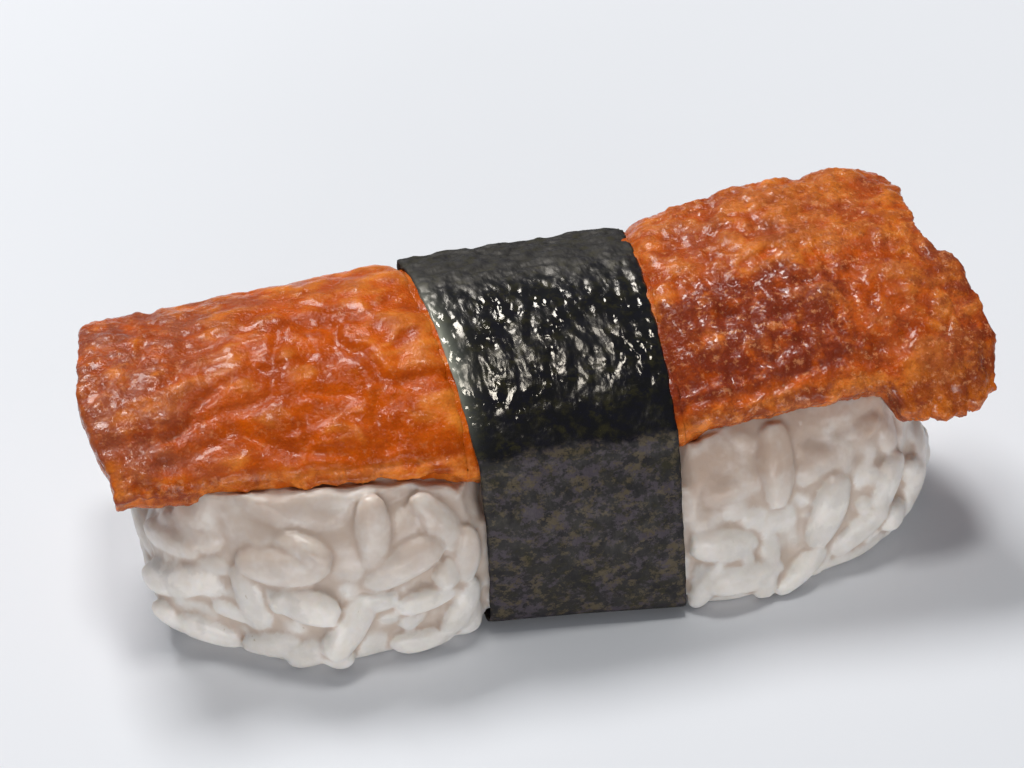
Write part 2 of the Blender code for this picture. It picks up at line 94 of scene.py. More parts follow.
# Creases of the slab's skin that show in the main view, along x and y, each with its depth and half width
CREASES = (
    (0.34, 0.55, ((-21.5, 3.5), (-22.4, 1.6), (-22.9, -0.3), (-22.9, -1.3), (-23.4, -2.3),
                  (-23.4, -3.8))),
    (0.30, 0.70, ((-21.5, 3.5), (-20.3, 4.6), (-18.9, 3.7), (-17.3, 3.0), (-16.9, 1.9), (-16.5, 0.3),
                  (-15.5, -0.9), (-14.5, -2.6), (-13.7, -4.7))),
    (0.34, 0.60, ((-23.2, -1.1), (-25.0, -0.8), (-26.8, -1.4), (-28.1, -2.0), (-29.7, -3.0),
                  (-31.2, -4.9), (-32.4, -5.8), (-34.8, -5.9))),
    (0.30, 0.55, ((-17.5, -5.1), (-20.5, -4.3), (-23.8, -4.0), (-26.2, -4.4), (-28.1, -4.1),
                  (-30.2, -4.8))),
    (0.36, 0.60, ((-13.7, -4.7), (-11.4, -5.1), (-8.8, -4.9), (-6.6, -5.0))),
    (0.32, 0.75, ((-13.7, -4.7), (-14.3, -6.7), (-15.1, -8.4), (-15.1, -10.3))),
    (0.26, 0.70, ((-21.3, -6.2), (-21.3, -8.1), (-21.9, -9.4))),
    (0.36, 0.65, ((-34.2, -8.3), (-32.2, -8.1), (-30.1, -7.1), (-28.5, -6.5), (-26.8, -6.9),
                  (-24.1, -8.6), (-21.9, -9.4), (-18.1, -10.1))),
    (0.40, 0.50, ((-36.4, -9.6), (-32.6, -10.0), (-29.5, -10.3), (-27.3, -10.5), (-24.7, -10.8),
                  (-22.3, -11.0), (-20.1, -11.2), (-17.1, -11.3), (-14.3, -11.6), (-10.8, -11.8),
                  (-9.2, -11.7), (-8.2, -10.6))),
    (0.34, 0.80, ((-38.7, -5.6), (-37.0, -6.2), (-35.0, -6.1))),
    (0.26, 0.60, ((-13.5, -6.3), (-13.7, -8.8), (-13.3, -10.4), (-11.0, -11.0), (-8.7, -10.7))),
    (0.20, 0.70, ((-29.9, 5.7), (-30.1, 2.9), (-31.0, 1.2), (-31.8, -0.1), (-33.8, -0.9))),
    (0.24, 0.60, ((15.3, -3.8), (19.1, -4.3), (23.2, -2.8), (27.2, -2.9))),
    (0.40, 0.60, ((12.7, -10.9), (17.7, -11.5), (20.4, -11.4), (25.9, -10.6), (29.0, -11.0),
                  (31.8, -11.8))),
    (0.30, 0.60, ((27.6, -7.6), (28.0, -9.0), (30.6, -10.2), (33.0, -10.4), (34.4, -9.1), (33.6, -6.7))),
    (0.34, 0.80, ((23.4, -8.6), (20.0, -9.4), (17.1, -9.9), (12.9, -9.4))),
    (0.24, 0.60, ((32.6, -0.9), (30.4, -2.7), (30.4, -4.8), (33.2, -5.8))),
)

# Strip: left and right edge along x at the back top and at the front foot, and its path
BAND_LEFT = (-8.4, -7.1)
BAND_RIGHT = (13.4, 10.7)
BAND_BACK = 12.0
BAND_FRONT = -17.0
BAND_PRESS = 0.85
BAND_CLEAR = 0.9
PRESS_REACH = 2.8
COVER_REACH = 2.4
BAND_FOOT_X = (-7.0, 2.0, 11.0)
BAND_FOOT_Y = (-16.2, -17.4, -18.9)
BAND_SHOULDER = -12.6
BAND_SPACE = 0.42
BAND_LIP_SPARE = 0.7
BAND_LIP = (-13.5, 15.3)
BAND_OVER = (
    (1.0, 0.6), (0.967, 0.4), (0.91, 0.18), (0.8, 0.0), (0.62, 0.0), (0.44, 0.0), (0.26, 0.0), (0.06, 0.0),
    (-0.14, 0.0), (-0.34, 0.0), (-0.54, 0.0), (-0.72, 0.0), (-0.87, 0.06), (-0.965, 0.2),
)
# Places along the strip, counted in points of its path from the inner end: 10 is the top of its rear part,
# the points of BAND_OVER follow, and the front lip is 25. Each pair is where a change starts and ends, and
# BAND_FREE_END is counted back from the outer end.
BAND_REAR_TOP = 10
BAND_FREE = (10.0, 12.0)
BAND_FREE_END = (6.0, 4.5)
BAND_WET = (14.6, 18.0)
BAND_REAR = (14.0, 17.5)
BAND_CALM = (20.0, 22.4)
BAND_DRY = 23.75
# Place along the strip of the painted highlight on its curled left edge.
BAND_EDGE_GLINT = 19.0
BAND_WALL_HEIGHTS = (12.6, 9.4, 6.2, 3.2, 1.5)
STRIP_COLUMNS = 96
STRIP_ROWS = 380

# Rice: outline at the foot and at the shoulder, going round from the left end by the front
FOOT = (
    (-35.5, 0.0), (-36.0, -5.6), (-35.0, -10.4), (-30.8, -13.6), (-24.2, -18.0),
    (-16.0, -18.1), (-9.5, -17.6), (-6.5, -16.2), (2.0, -17.4), (11.0, -18.9),
    (16.0, -19.6), (24.0, -18.2), (29.5, -16.8), (34.0, -13.6), (37.0, -8.5),
    (38.0, -2.0), (37.4, 5.0), (34.8, 11.0), (28.0, 14.2), (16.0, 14.9),
    (4.0, 14.5), (-8.0, 14.7), (-20.0, 14.7), (-29.4, 13.0), (-33.8, 8.6),
)
SHOULDER = (
    (-34.8, 0.5), (-34.6, -5.0), (-33.6, -8.4), (-30.4, -10.8), (-24.5, -11.6),
    (-16.0, -12.0), (-9.5, -12.3), (-6.5, -12.6), (2.0, -12.6), (11.0, -12.6),
    (16.0, -12.3), (24.0, -12.6), (30.0, -12.4), (33.2, -10.6), (35.2, -7.5),
    (36.0, -2.0), (35.6, 4.5), (33.5, 9.5), (28.0, 12.2), (16.0, 12.9),
    (4.0, 13.2), (-8.0, 12.9), (-20.0, 12.6), (-29.4, 11.4), (-33.6, 7.6),
)
WALL_HEIGHT = 17.0
LEAN_X = (-7.0, 11.0)
LEAN = (3.6, 1.8)
END_BULGE = 1.1
CORE_INSET = 0.95
CORE_INSET_BAND = 0.9
CORE_RING = 200
HEAP_VOXEL = 0.24
HEAP_SMOOTHING = 1
HEAP_KEPT = 0.56
CAVITY_ROUNDS = 12
CAVITY_DEPTH = 0.13
CORE_TOP_MIDDLE = (0.5, 1.5)
BAND_FLOOR = 1.85
LEDGE_RISE = 3.5
LEDGE_LIMIT = (3.15, 1.0)
GRAIN_TRIES = 5000
OUTER_APART = 2.55
INNER_APART = 2.0
AXIS_STOPS = np.linspace(-0.37, 0.37, 5)
# Grains that stand out in the main view: place x, y, z, turn in degrees from level, and size
MARKED_GRAINS = (
    ((-13.5, -17.8, 1.6), 2, 0.85), ((-19.6, -17.9, 5.3), 42, 1.12), ((-23.2, -17.6, 2.4), 28, 0.95),
    ((-15.1, -17.0, 10.0), 25, 1.1), ((-13.0, -17.6, 6.2), 5, 0.85), ((-9.7, -17.4, 4.3), 55, 0.85),
    ((-9.2, -16.6, 9.6), 80, 0.8), ((-17.4, -15.6, 12.6), 85, 1.15), ((-11.3, -15.4, 12.8), -58, 1.05),
    ((-25.9, -15.4, 11.1), -6, 1.15), ((-25.0, -16.7, 7.7), -12, 1.15), ((-32.4, -11.0, 9.7), 8, 1.1),
    ((-34.9, -10.2, 4.4), 40, 0.95), ((-32.3, -12.9, 2.5), -20, 0.9), ((-26.6, -16.0, 2.6), 10, 0.95),
    ((13.7, -15.7, 11.6), 10, 0.95), ((20.3, -14.9, 12.7), 84, 1.15), ((18.2, -13.8, 14.7), -40, 0.95),
    ((24.9, -16.7, 7.1), 65, 1.1), ((31.3, -15.1, 7.3), 50, 1.1), ((15.0, -18.0, 6.7), -18, 1.2),
    ((16.5, -19.0, 3.1), -4, 1.1), ((22.5, -18.2, 2.2), 30, 0.95), ((28.1, -16.7, 4.4), 35, 1.0),
    ((36.7, -10.4, 7.6), 35, 0.95), ((35.2, -12.9, 4.7), 62, 0.95), ((12.9, -18.9, 1.8), 60, 0.8),
)
GRAIN_CLEAR = 0.04
GRAIN_SINK = 0.45
GRAIN_LENGTH = 7.2
# Tried in turn until a grain is clear of slab and strip: share of its length, and move down and inward
GRAIN_SHIFTS = (
    (1.0, 0.0), (1.0, 0.4), (1.0, 0.8), (0.85, 0.6),
    (1.0, 1.2), (0.85, 1.0), (0.85, 1.4), (0.7, 1.3),
)
UNDER_TRIES = 230
GRAIN_PROUD = 0.7
MARKED_PROUD = 3.0
GRAIN_LEAN = 0.75
GRAIN_SIDES = 12
GRAIN_RINGS = 9
RAY = Vector((0.31, -0.17, 0.93)).normalized()
RAY_STEP = 0.000001

# Camera, as turn and height in degrees, distance and aim in metres
CAMERA_TURN = -15.0
CAMERA_RISE = 37.0
CAMERA_LENS = 85.0
CAMERA_DISTANCE = 0.224
CAMERA_AIM = (-0.00184, 0.00247, 0.0152)

# Floor and lights in metres: name, setting for the power, place, size and colour of each light
FLOOR_HALF = 1.6
LIGHT_AIM = (0.0, 0.0, 0.01)
LIGHTS = (
    ("top_light", "key_power", (0.02, 0.10, 0.92), (0.17, 0.17), (1.0, 0.985, 0.95)),
    ("rear_softbox", "rear_power", (-0.16, 0.58, 0.76), (0.34, 0.28), (1.0, 0.99, 0.98)),
    ("front_fill", "fill_power", (-0.12, -1.0, 0.17), (0.9, 0.28), (0.98, 0.985, 1.0)),
)


def colour_property(name, description, value):
    return FloatVectorProperty(
        name=name, description=description, default=value, size=3, min=0.0, max=1.0, subtype="COLOR"
    )


def length_property(name, description, value):
    return FloatProperty(
        name=name, description=description, default=value, min=0.0, unit="LENGTH", precision=5
    )


def share_property(name, description, value):
    return FloatProperty(
        name=name, description=description, default=value, min=0.0, max=1.0, subtype="FACTOR"
    )


def power_property(name, description, value):
    return FloatProperty(name=name, description=description, default=value)


class NigiriTofuSettings(bpy.types.PropertyGroup):
    """Sizes and colours of the tofu slab."""

    wrinkle: length_property("Wrinkles", "Height of the large folds of the skin", 0.00055)
    pucker: length_property("Puckers", "Height of the small folds between them", 0.00009)
    crumb: length_property("Crumb", "Height of the fried grain of the skin", 0.00008)
    # Amber and skin are mixed by the slab's relief: amber in the hollows and creases stands partly for soaked
    # skin and partly for painted shade, skin on the humps partly for a painted sheen.
    amber: colour_property("Amber", "Colour of the thin, soaked hollows", (0.55, 0.090, 0.002))
    skin: colour_property("Skin", "Colour of the skin on the humps", (0.70, 0.200, 0.024))
    toast: colour_property("Toast", "Colour where the skin is browned", (0.34, 0.082, 0.034))
    maroon: colour_property("Maroon", "Colour of the darkest sauce", (0.20, 0.028, 0.012))
    # Rim is painted light: a lighter colour along the slab's front lip.
    rim: colour_property("Rim", "Colour of the cut rim", (0.86, 0.26, 0.040))
    glaze: share_property("Glaze", "Strength of the wet sauce film", 0.85)


class NigiriRiceSettings(bpy.types.PropertyGroup):
    """Sizes and colours of the rice."""

    length: length_property("Grain length", "Length of a cooked grain", GRAIN_LENGTH * METRE)
    width: length_property("Grain width", "Width of a cooked grain", 0.0034)
    depth: length_property("Grain depth", "Thickness of a cooked grain", 0.0028)
    seed: IntProperty(name="Seed", description="Order of the grains", default=41, min=0)
    white: colour_property("Rice", "Colour of a grain", (0.81, 0.765, 0.72))
    # Soaked is partly sauce taken up by the rice and partly painted shade and orange bounce light under the
    # slab.
    soaked: colour_property("Soaked", "Colour of a grain that has taken up sauce", (0.54, 0.415, 0.335))
    # Painted shade in the creases between grains.
    crease_shade: colour_property("Heart", "Colour deep between the grains", (0.55, 0.41, 0.31))


class NigiriNoriSettings(bpy.types.PropertyGroup):
    """Sizes and colours of the seaweed strip."""

    thickness: length_property("Thickness", "Thickness of the strip", 0.00034)
    crumple: length_property("Crumple", "Height of the crumples", 0.00016)
    dark: colour_property("Seaweed", "Colour of the strip", (0.004, 0.004, 0.005))
    olive: colour_property("Olive", "Colour of its greener fibres", (0.020, 0.018, 0.007))
    dust: colour_property("Dust", "Colour of its dry, dull face", (0.046, 0.036, 0.050))
    brown: colour_property("Brown", "Colour of its dry, brownish blotches", (0.078, 0.058, 0.030))


class NigiriStageSettings(bpy.types.PropertyGroup):
    """Floor, lights and camera."""

    floor: colour_property("Floor", "Colour of the floor", (0.80, 0.82, 0.86))
    sky: colour_property("Sky", "Colour of the light from all round", (0.86, 0.92, 1.0))
    sky_strength: power_property("Sky strength", "Strength of the light all round", 0.16)
    key_power: power_property("Top power", "Power of the overhead light in watts", 2.2)
    rear_power: power_property("Rear power", "Power of the rear softbox in watts", 6.8)
    fill_power: power_property("Fill power", "Power of the front softbox in watts", 4.9)


# Number work shared by the pieces


def smooth(value, low, high):
    t = np.clip((value - low) / (high - low), 0.0, 1.0)
    return t * t * (3.0 - 2.0 * t)


def soft(x, xs, ys, reach):
    """Value of a broken line at x, rounded off over reach on each side."""
    taps = (-1.0, -0.5, 0.0, 0.5, 1.0)
    return sum(np.interp(x + reach * tap, xs, ys) for tap in taps) / len(taps)


def field(function, *axes):
    """The function of a point, called at each place of the arrays."""
    axes = np.broadcast_arrays(*axes)
    spots = zip(*(axis.ravel().tolist() for axis in axes))
    found = np.array([function(Vector(spot)) for spot in spots])
    return found.reshape(*axes[0].shape, *found.shape[1:])


def rough(x, y, z):
    return field(noise.noise, x, y, z)


def rough_vector(x, y, z):
    """Three noise values at each place. Without a seed of its own, Blender would give others in every run."""
    noise.seed_set(NOISE_SEED)
    return field(noise.noise_vector, x, y, z)


def cell_gap(spot):
    """Distance from the border between the two nearest cells, 0 on it and 1 well inside."""
    near = noise.voronoi(spot)[0]
    return min((near[1] - near[0]) * 2.2, 1.0)


def front_line(x):
    """Depth of the slab's front edge at x, before it is roughened."""
    return np.interp(x, FRONT_X, FRONT_Y)


def band_edges(y):
    """Left and right edge of the strip where it passes over or in front of depth y."""
    t = np.clip((BAND_BACK - y) / (BAND_BACK - BAND_FRONT), 0.0, 1.0)
    left = BAND_LEFT[0] + (BAND_LEFT[1] - BAND_LEFT[0]) * t
    right = BAND_RIGHT[0] + (BAND_RIGHT[1] - BAND_RIGHT[0]) * t
    return left, right


def under_band(x, y, margin, clear=BAND_CLEAR):
    """1 inside the strip's width and clear beyond it, falling to 0 at margin outside it."""
    left, right = band_edges(y)
    from_left = smooth(x, left - margin, left - clear)
    return from_left * (1.0 - smooth(x, right + clear, right + margin))


def middle(x, y, margin=PRESS_REACH, clear=BAND_CLEAR):
    """Height of the slab's middle surface."""
    crest = soft(x, CREST_X, CREST_Z, 2.0) - BAND_PRESS * under_band(x, y, margin, clear)
    fall = np.where(y > CREST_Y, soft(x, REAR_ARCH_X, REAR_ARCH, 3.0), ARCH)
    return crest - SLAB_THICK / 2 - fall * (y - CREST_Y) ** 2


def normals_at(x, y):
    step = 0.05
    run_x = (middle(x + step, y) - middle(x - step, y)) / (2 * step)
    run_y = (middle(x, y + step) - middle(x, y - step)) / (2 * step)
    normal = np.stack(np.broadcast_arrays(-run_x, -run_y, np.ones_like(run_x)), axis=-1)
    return normal / np.linalg.norm(normal, axis=-1, keepdims=True)


def wrinkle(x, y):
    """Large relief of the seasoned skin: soft humps parted by faint creases, about -1 to 1."""
    warp = 0.8 * rough_vector(x * WARP_SCALE, y * WARP_SCALE, 3.7)
    crease = field(cell_gap, x * CELL_SCALE[0] + warp[..., 0], y * CELL_SCALE[1] + warp[..., 1], 1.3)
    hump = rough(x * HUMP_SCALE[0], y * HUMP_SCALE[1], 8.1)
    fine = rough(x * FINE_SCALE[0], y * FINE_SCALE[1], 5.5)
    return 0.35 * (np.sqrt(crease) - 0.7) + 0.9 * hump + 0.45 * fine


def creasing(x, y):
    """Depth of the drawn creases at x, y in millimetres, and a wider mask of them that darkens the colour
    along them, partly as soaked skin and partly as painted shade.
    """
    spot = np.stack([x, y], axis=-1)
    spot = spot + 0.35 * np.stack([rough(x * 0.5, y * 0.5, 4.1), rough(x * 0.5, y * 0.5, 9.6)], axis=-1)
    cut_in = np.zeros(len(spot))
    stain_and_shade = np.zeros(len(spot))
    for depth, reach, line in CREASES:
        line = np.array(line)
        nearest = np.full(len(spot), 99.0)
        for start, end in zip(line[:-1], line[1:]):
            along = end - start
            share = np.clip(((spot - start) @ along) / (along @ along), 0.0, 1.0)
            nearest = np.minimum(nearest, np.linalg.norm(spot - start - share[:, None] * along, axis=1))
        cut_in = np.maximum(cut_in, depth * np.exp(-((nearest / reach) ** 2)))
        stain_and_shade = np.maximum(stain_and_shade, np.exp(-((nearest / (1.7 * reach)) ** 2)))
    return cut_in, stain_and_shade


def rounded_section(count, half_length, half_thick, power):
    """Evenly spaced stops along half the outline of a round-ended bar: place -1 to 1, and thickness share."""
    rise = np.linspace(0.0, 0.9, 500)
    edge = (1.0 - rise**power) ** (1.0 / power)
    flat = np.linspace(edge[-1], 0.0, 500)[1:]
    place = np.concatenate([edge, flat])
    height = np.concatenate([rise, (1.0 - flat**power) ** (1.0 / power)])
    place = np.concatenate([place, -place[-2::-1]])
    height = np.concatenate([height, height[-2::-1]])
    run = np.hypot(np.diff(place) * half_length, np.diff(height) * half_thick)
    run = np.concatenate([[0.0], np.cumsum(run)])
    stops = np.linspace(0.0, run[-1], count)
    return -np.interp(stops, run, place), np.interp(stops, run, height)


def curve_between(p, f):
    """Smooth curve from the second to the third of four points, f from 0 to 1."""
    line = 2.0 * p[1] + (p[2] - p[0]) * f
    line = line + (2.0 * p[0] - 5.0 * p[1] + 4.0 * p[2] - p[3]) * f * f
    line = line + (3.0 * p[1] - p[0] - 3.0 * p[2] + p[3]) * f * f * f
    return line * 0.5


def spline(points, t):
    """Closed curve through the points, t from 0 to 1."""
    points = np.asarray(points)
    count = len(points)
    place = (np.asarray(t) % 1.0) * count
    k = place.astype(int)
    f = (place - k)[..., None]
    return curve_between([points[(k + n) % count] for n in (-1, 0, 1, 2)], f)


# Mesh and scene helpers


def to_row(points):
    """Millimetres about the rice's middle to metres in the row frame."""
    return (np.asarray(points, float) - CENTRE) * METRE


def new_piece(name, points, faces, material, attributes=None):
    """A smooth mesh object that rides on the part; points are in millimetres."""
    mesh = bpy.data.meshes.new(name)
    faces = np.asarray(faces)
    mesh.vertices.add(len(points))
    mesh.vertices.foreach_set("co", to_row(points).astype(np.float32).ravel())
    sides = faces.shape[1]
    mesh.loops.add(faces.size)
    mesh.loops.foreach_set("vertex_index", faces.astype(np.int32).ravel())
    mesh.polygons.add(len(faces))
    mesh.polygons.foreach_set("loop_start", np.arange(0, faces.size, sides, dtype=np.int32))
    mesh.update(calc_edges=True)
    if mesh.validate():
        raise RuntimeError(name + " has faces that share all their corners")
    mesh.shade_smooth()
    for label, values in (attributes or {}).items():
        layer = mesh.attributes.new(label, "FLOAT", "POINT")
        layer.data.foreach_set("value", np.asarray(values, np.float32).ravel())
    mesh.materials.append(material)
    obj = bpy.data.objects.new(name, mesh)
    bpy.context.scene.collection.objects.link(obj)
    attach(obj, "root")
    return obj


def point_normals(points, faces):
    """Unit normal at each point, from the faces round it."""
    points = np.asarray(points, float)
    total = np.zeros_like(points)
    faces = np.asarray(faces)
    across = np.cross(points[faces[:, 2]] - points[faces[:, 0]], points[faces[:, -1]] - points[faces[:, 1]])
    for corner in range(faces.shape[1]):
        np.add.at(total, faces[:, corner], across)
    return total / np.maximum(np.linalg.norm(total, axis=1, keepdims=True), 1e-12)


def grid_faces(index):
    """Quads of a grid of point numbers."""
    a, b = index[:-1, :-1], index[1:, :-1]
    c, d = index[1:, 1:], index[:-1, 1:]
    return np.stack([a, b, c, d], axis=-1).reshape(-1, 4)


# Shader node helpers


class Board:
    """Adds nodes to a node tree and links them."""

    def __init__(self, tree):
        self.tree = tree
        self.column = 0

    def add(self, kind, links=None, **settings):
        node = self.tree.nodes.new(kind)
        self.column += 1
        node.location = (180 * (self.column % 12), -260 * (self.column // 12))
        for key, value in settings.items():
            setattr(node, key, value)
        for socket, value in (links or {}).items():
            if isinstance(value, bpy.types.NodeSocket):
                self.tree.links.new(value, node.inputs[socket])
            else:
                node.inputs[socket].default_value = value
        return node

    def math(self, operation, first, second=0.0, clamp=False):
        links = {0: first, 1: second}
        return self.add("ShaderNodeMath", links, operation=operation, use_clamp=clamp).outputs[0]

    def times(self, first, second, clamp=False):
        return self.math("MULTIPLY", first, second, clamp)

    def plus(self, first, second):
        return self.math("ADD", first, second)

    def mix(self, share, first, second, blend="MIX"):
        links = {0: share, 6: rgba(first), 7: rgba(second)}
        return self.add("ShaderNodeMix", links, data_type="RGBA", blend_type=blend).outputs[2]

    def noise(self, vector, scale, detail=2.0, roughness=0.5, distortion=0.0):
        links = {"Vector": vector, "Scale": scale, "Detail": detail}
        links.update({"Roughness": roughness, "Distortion": distortion})
        return self.add("ShaderNodeTexNoise", links).outputs["Fac"]

    def patches(self, vector, scale, detail, roughness, low, high, to_low=0.0, to_high=1.0):
        """Noise with its values from low to high spread over the other range."""
        return self.spread(self.noise(vector, scale, detail, roughness), low, high, to_low, to_high)

    def spread(self, value, low, high, to_low=0.0, to_high=1.0):
        links = {"Value": value, "From Min": low, "From Max": high, "To Min": to_low, "To Max": to_high}
        return self.add("ShaderNodeMapRange", links, interpolation_type="SMOOTHSTEP").outputs["Result"]

    def attribute(self, name):
        return self.add("ShaderNodeAttribute", attribute_name=name, attribute_type="GEOMETRY").outputs["Fac"]

    def place(self):
        return self.add("ShaderNodeTexCoord").outputs["Object"]

    def stretched(self, vector, scale, rotation=(0.0, 0.0, 0.0)):
        links = {"Vector": vector, "Rotation": rotation, "Scale": scale}
        return self.add("ShaderNodeMapping", links).outputs["Vector"]

    def bumped(self, strength, distance, height):
        links = {"Strength": strength, "Distance": distance, "Height": height}
        return self.add("ShaderNodeBump", links).outputs["Normal"]

    def group(self, tree, links):
        node = self.add("ShaderNodeGroup", node_tree=tree)
        for socket, value in links.items():
            if isinstance(value, bpy.types.NodeSocket):
                self.tree.links.new(value, node.inputs[socket])
            else:
                node.inputs[socket].default_value = rgba(value) if isinstance(value, tuple) else value
        return node.outputs


def rgba(value):
    if isinstance(value, bpy.types.NodeSocket):
        return value
    return (*tuple(value)[:3], 1.0)


def new_group(name, inputs, outputs):
    """An empty node group with named sockets: each is (kind, name, default)."""
    tree = bpy.data.node_groups.new(name, "ShaderNodeTree")
    for kind, label, value in inputs:
        socket = tree.interface.new_socket(name=label, in_out="INPUT", socket_type=kind)
        if value is not None:
            socket.default_value = value
    for kind, label in outputs:
        tree.interface.new_socket(name=label, in_out="OUTPUT", socket_type=kind)
    board = Board(tree)
    start = board.add("NodeGroupInput").outputs
    end = board.add("NodeGroupOutput").inputs
    return tree, board, start, end


def mottle_group():
    """Uneven colour of food: two colours mixed by a soft blotchy mask."""
    found = bpy.data.node_groups.get("Mottle")
    if found:
        return found
    inputs = [
        ("NodeSocketVector", "Place", None),
        ("NodeSocketFloat", "Scale", 300.0),
        ("NodeSocketFloat", "Low", 0.4),
        ("NodeSocketFloat", "High", 0.6),
        ("NodeSocketColor", "First", (0.5, 0.5, 0.5, 1.0)),
        ("NodeSocketColor", "Second", (0.5, 0.5, 0.5, 1.0)),
    ]
    tree, board, start, end = new_group("Mottle", inputs, [("NodeSocketColor", "Colour")])
    mask = board.patches(start["Place"], start["Scale"], 4.0, 0.6, start["Low"], start["High"])
    tree.links.new(board.mix(mask, start["First"], start["Second"]), end["Colour"])
    return tree


def mottled(board, place, scale, low, high, first, second):
    """Colour of the mottle group with these settings."""
    links = {"Place": place, "Scale": scale, "Low": low, "High": high, "First": first, "Second": second}
    return board.group(mottle_group(), links)["Colour"]


def pore_group():
    """Small bumps and pits of a food surface, as a height from 0 to 1."""
    found = bpy.data.node_groups.get("Pores")
    if found:
        return found
    inputs = [
        ("NodeSocketVector", "Place", None),
        ("NodeSocketFloat", "Bump Scale", 900.0),
        ("NodeSocketFloat", "Pit Scale", 1600.0),
        ("NodeSocketFloat", "Pit Share", 0.4),
    ]
    tree, board, start, end = new_group("Pores", inputs, [("NodeSocketFloat", "Height")])
    bumps = board.noise(start["Place"], start["Bump Scale"], 3.0, 0.55, 0.3)
    cells = board.add("ShaderNodeTexVoronoi", {"Vector": start["Place"], "Scale": start["Pit Scale"]})
    pits = board.spread(cells.outputs["Distance"], 0.0, 0.6)
    high = board.math("SUBTRACT", 1.0, start["Pit Share"])
    total = board.plus(board.times(bumps, high), board.times(pits, start["Pit Share"]))
    tree.links.new(total, end["Height"])
    return tree


def pores(board, place, bump_scale, pit_scale, pit_share):
    """Height of the pore group with these settings."""
    links = {"Place": place, "Bump Scale": bump_scale, "Pit Scale": pit_scale, "Pit Share": pit_share}
    return board.group(pore_group(), links)["Height"]


def new_material(name):
    material = bpy.data.materials.new(name)
    material.use_nodes = True
    shader = material.node_tree.nodes["Principled BSDF"]
    return material, Board(material.node_tree), shader


def set_shader(shader, board, **links):
    """Sets or links the shader's sockets, with _ for a space in a socket's name."""
    for label, value in links.items():
        socket = shader.inputs[label.replace("_", " ")]
        if isinstance(value, bpy.types.NodeSocket):
            board.tree.links.new(value, socket)
        else:
            socket.default_value = value


# Materials


def tofu_material(look):
    material, board, shader = new_material("seasoned_tofu")
    place = board.place()
    fold, browned, sauce = (board.attribute(name) for name in ("fold", "browned", "sauce"))
    thin, grainy, lip = (board.attribute(name) for name in ("thin", "grainy", "lip"))
    streaky = board.stretched(place, (0.8, 1.0, 1.0))
    cloud = board.times(board.math("SUBTRACT", board.noise(streaky, 700.0, 4.0, 0.65), 0.5), 0.9)
    # Colour by relief: hollows and creases darker amber, partly soaked skin and partly painted shade; humps
    # paler skin, partly painted sheen.
    hump_sheen_share = board.spread(board.plus(fold, cloud), -0.35, 0.4)
    base = board.mix(hump_sheen_share, look.amber, look.skin)
    patch = mottled(board, streaky, 380.0, 0.34, 0.66, (0.70, 0.56, 0.5), (1.16, 1.16, 1.16))
    base = board.mix(0.8, base, patch, "MULTIPLY")
    crust = board.times(browned, board.patches(streaky, 330.0, 5.0, 0.65, 0.34, 0.62))
    base = board.mix(crust, base, look.toast)
    wetted = board.plus(board.noise(place, 430.0, 5.0, 0.65), board.times(sauce, 0.2))
    pool = board.times(board.times(sauce, 1.3, True), board.spread(wetted, 0.5, 0.74, 0.0, 0.9))
    # Painted light: the lighter rim colour mottled along the front lip.
    rim = board.mix(board.patches(place, 520.0, 4.0, 0.6, 0.32, 0.6), look.amber, look.rim)
    base = board.mix(board.times(lip, 0.75), base, rim)
    base = board.mix(pool, base, look.maroon)
    amber_edge = board.times(thin, board.patches(place, 420.0, 4.0, 0.6, 0.35, 0.65, 0.0, 0.85))
    base = board.mix(amber_edge, base, (0.74, 0.170, 0.008))
    specked = board.times(grainy, 0.45)
    light = board.patches(place, 1500.0, 3.0, 0.7, 0.54, 0.68)
    base = board.mix(board.times(light, specked), base, (0.86, 0.36, 0.15))
    dark = board.spread(board.noise(streaky, 1300.0, 3.0, 0.7, 0.4), 0.54, 0.7)
    base = board.mix(board.times(dark, specked), base, (0.18, 0.024, 0.008))
    bumps = pores(board, streaky, 1700.0, 2300.0, 0.35)
    bumps = board.times(bumps, board.spread(grainy, 0.0, 1.0, 0.55, 0.9))
    fried = board.times(board.noise(place, 3300.0, 2.0, 0.6), board.spread(grainy, 0.2, 1.0, 0.55, 0.9))
    smear = board.patches(place, 420.0, 4.0, 0.6, 0.40, 0.62, 0.34, 0.34 - 0.29 * look.glaze)
    bead_gloss = board.spread(grainy, 0.5, 1.0, 0.4, 0.07)
    bead = board.patches(place, 1500.0, 3.0, 0.6, 0.5, 0.62, 0.5, bead_gloss)
    film = board.patches(place, 560.0, 3.0, 0.6, 0.46, 0.6, 0.0, 0.22 * look.glaze)
    film = board.plus(film, board.spread(grainy, 0.6, 1.0, 0.0, 0.12 * look.glaze))
    wet = board.times(sauce, board.patches(place, 1100.0, 3.0, 0.6, 0.52, 0.64, 0.0, 0.6 * look.glaze))
    set_shader(
        shader, board, Base_Color=base, Roughness=board.math("MINIMUM", smear, bead), IOR=1.42,
        Specular_IOR_Level=0.15, Coat_Weight=board.plus(film, wet), Coat_Roughness=0.07,
        Subsurface_Weight=0.15, Subsurface_Radius=(1.0, 0.3, 0.08), Subsurface_Scale=0.0012,
        Normal=board.bumped(1.0, 0.00012, board.plus(bumps, fried)),
    )
    return material


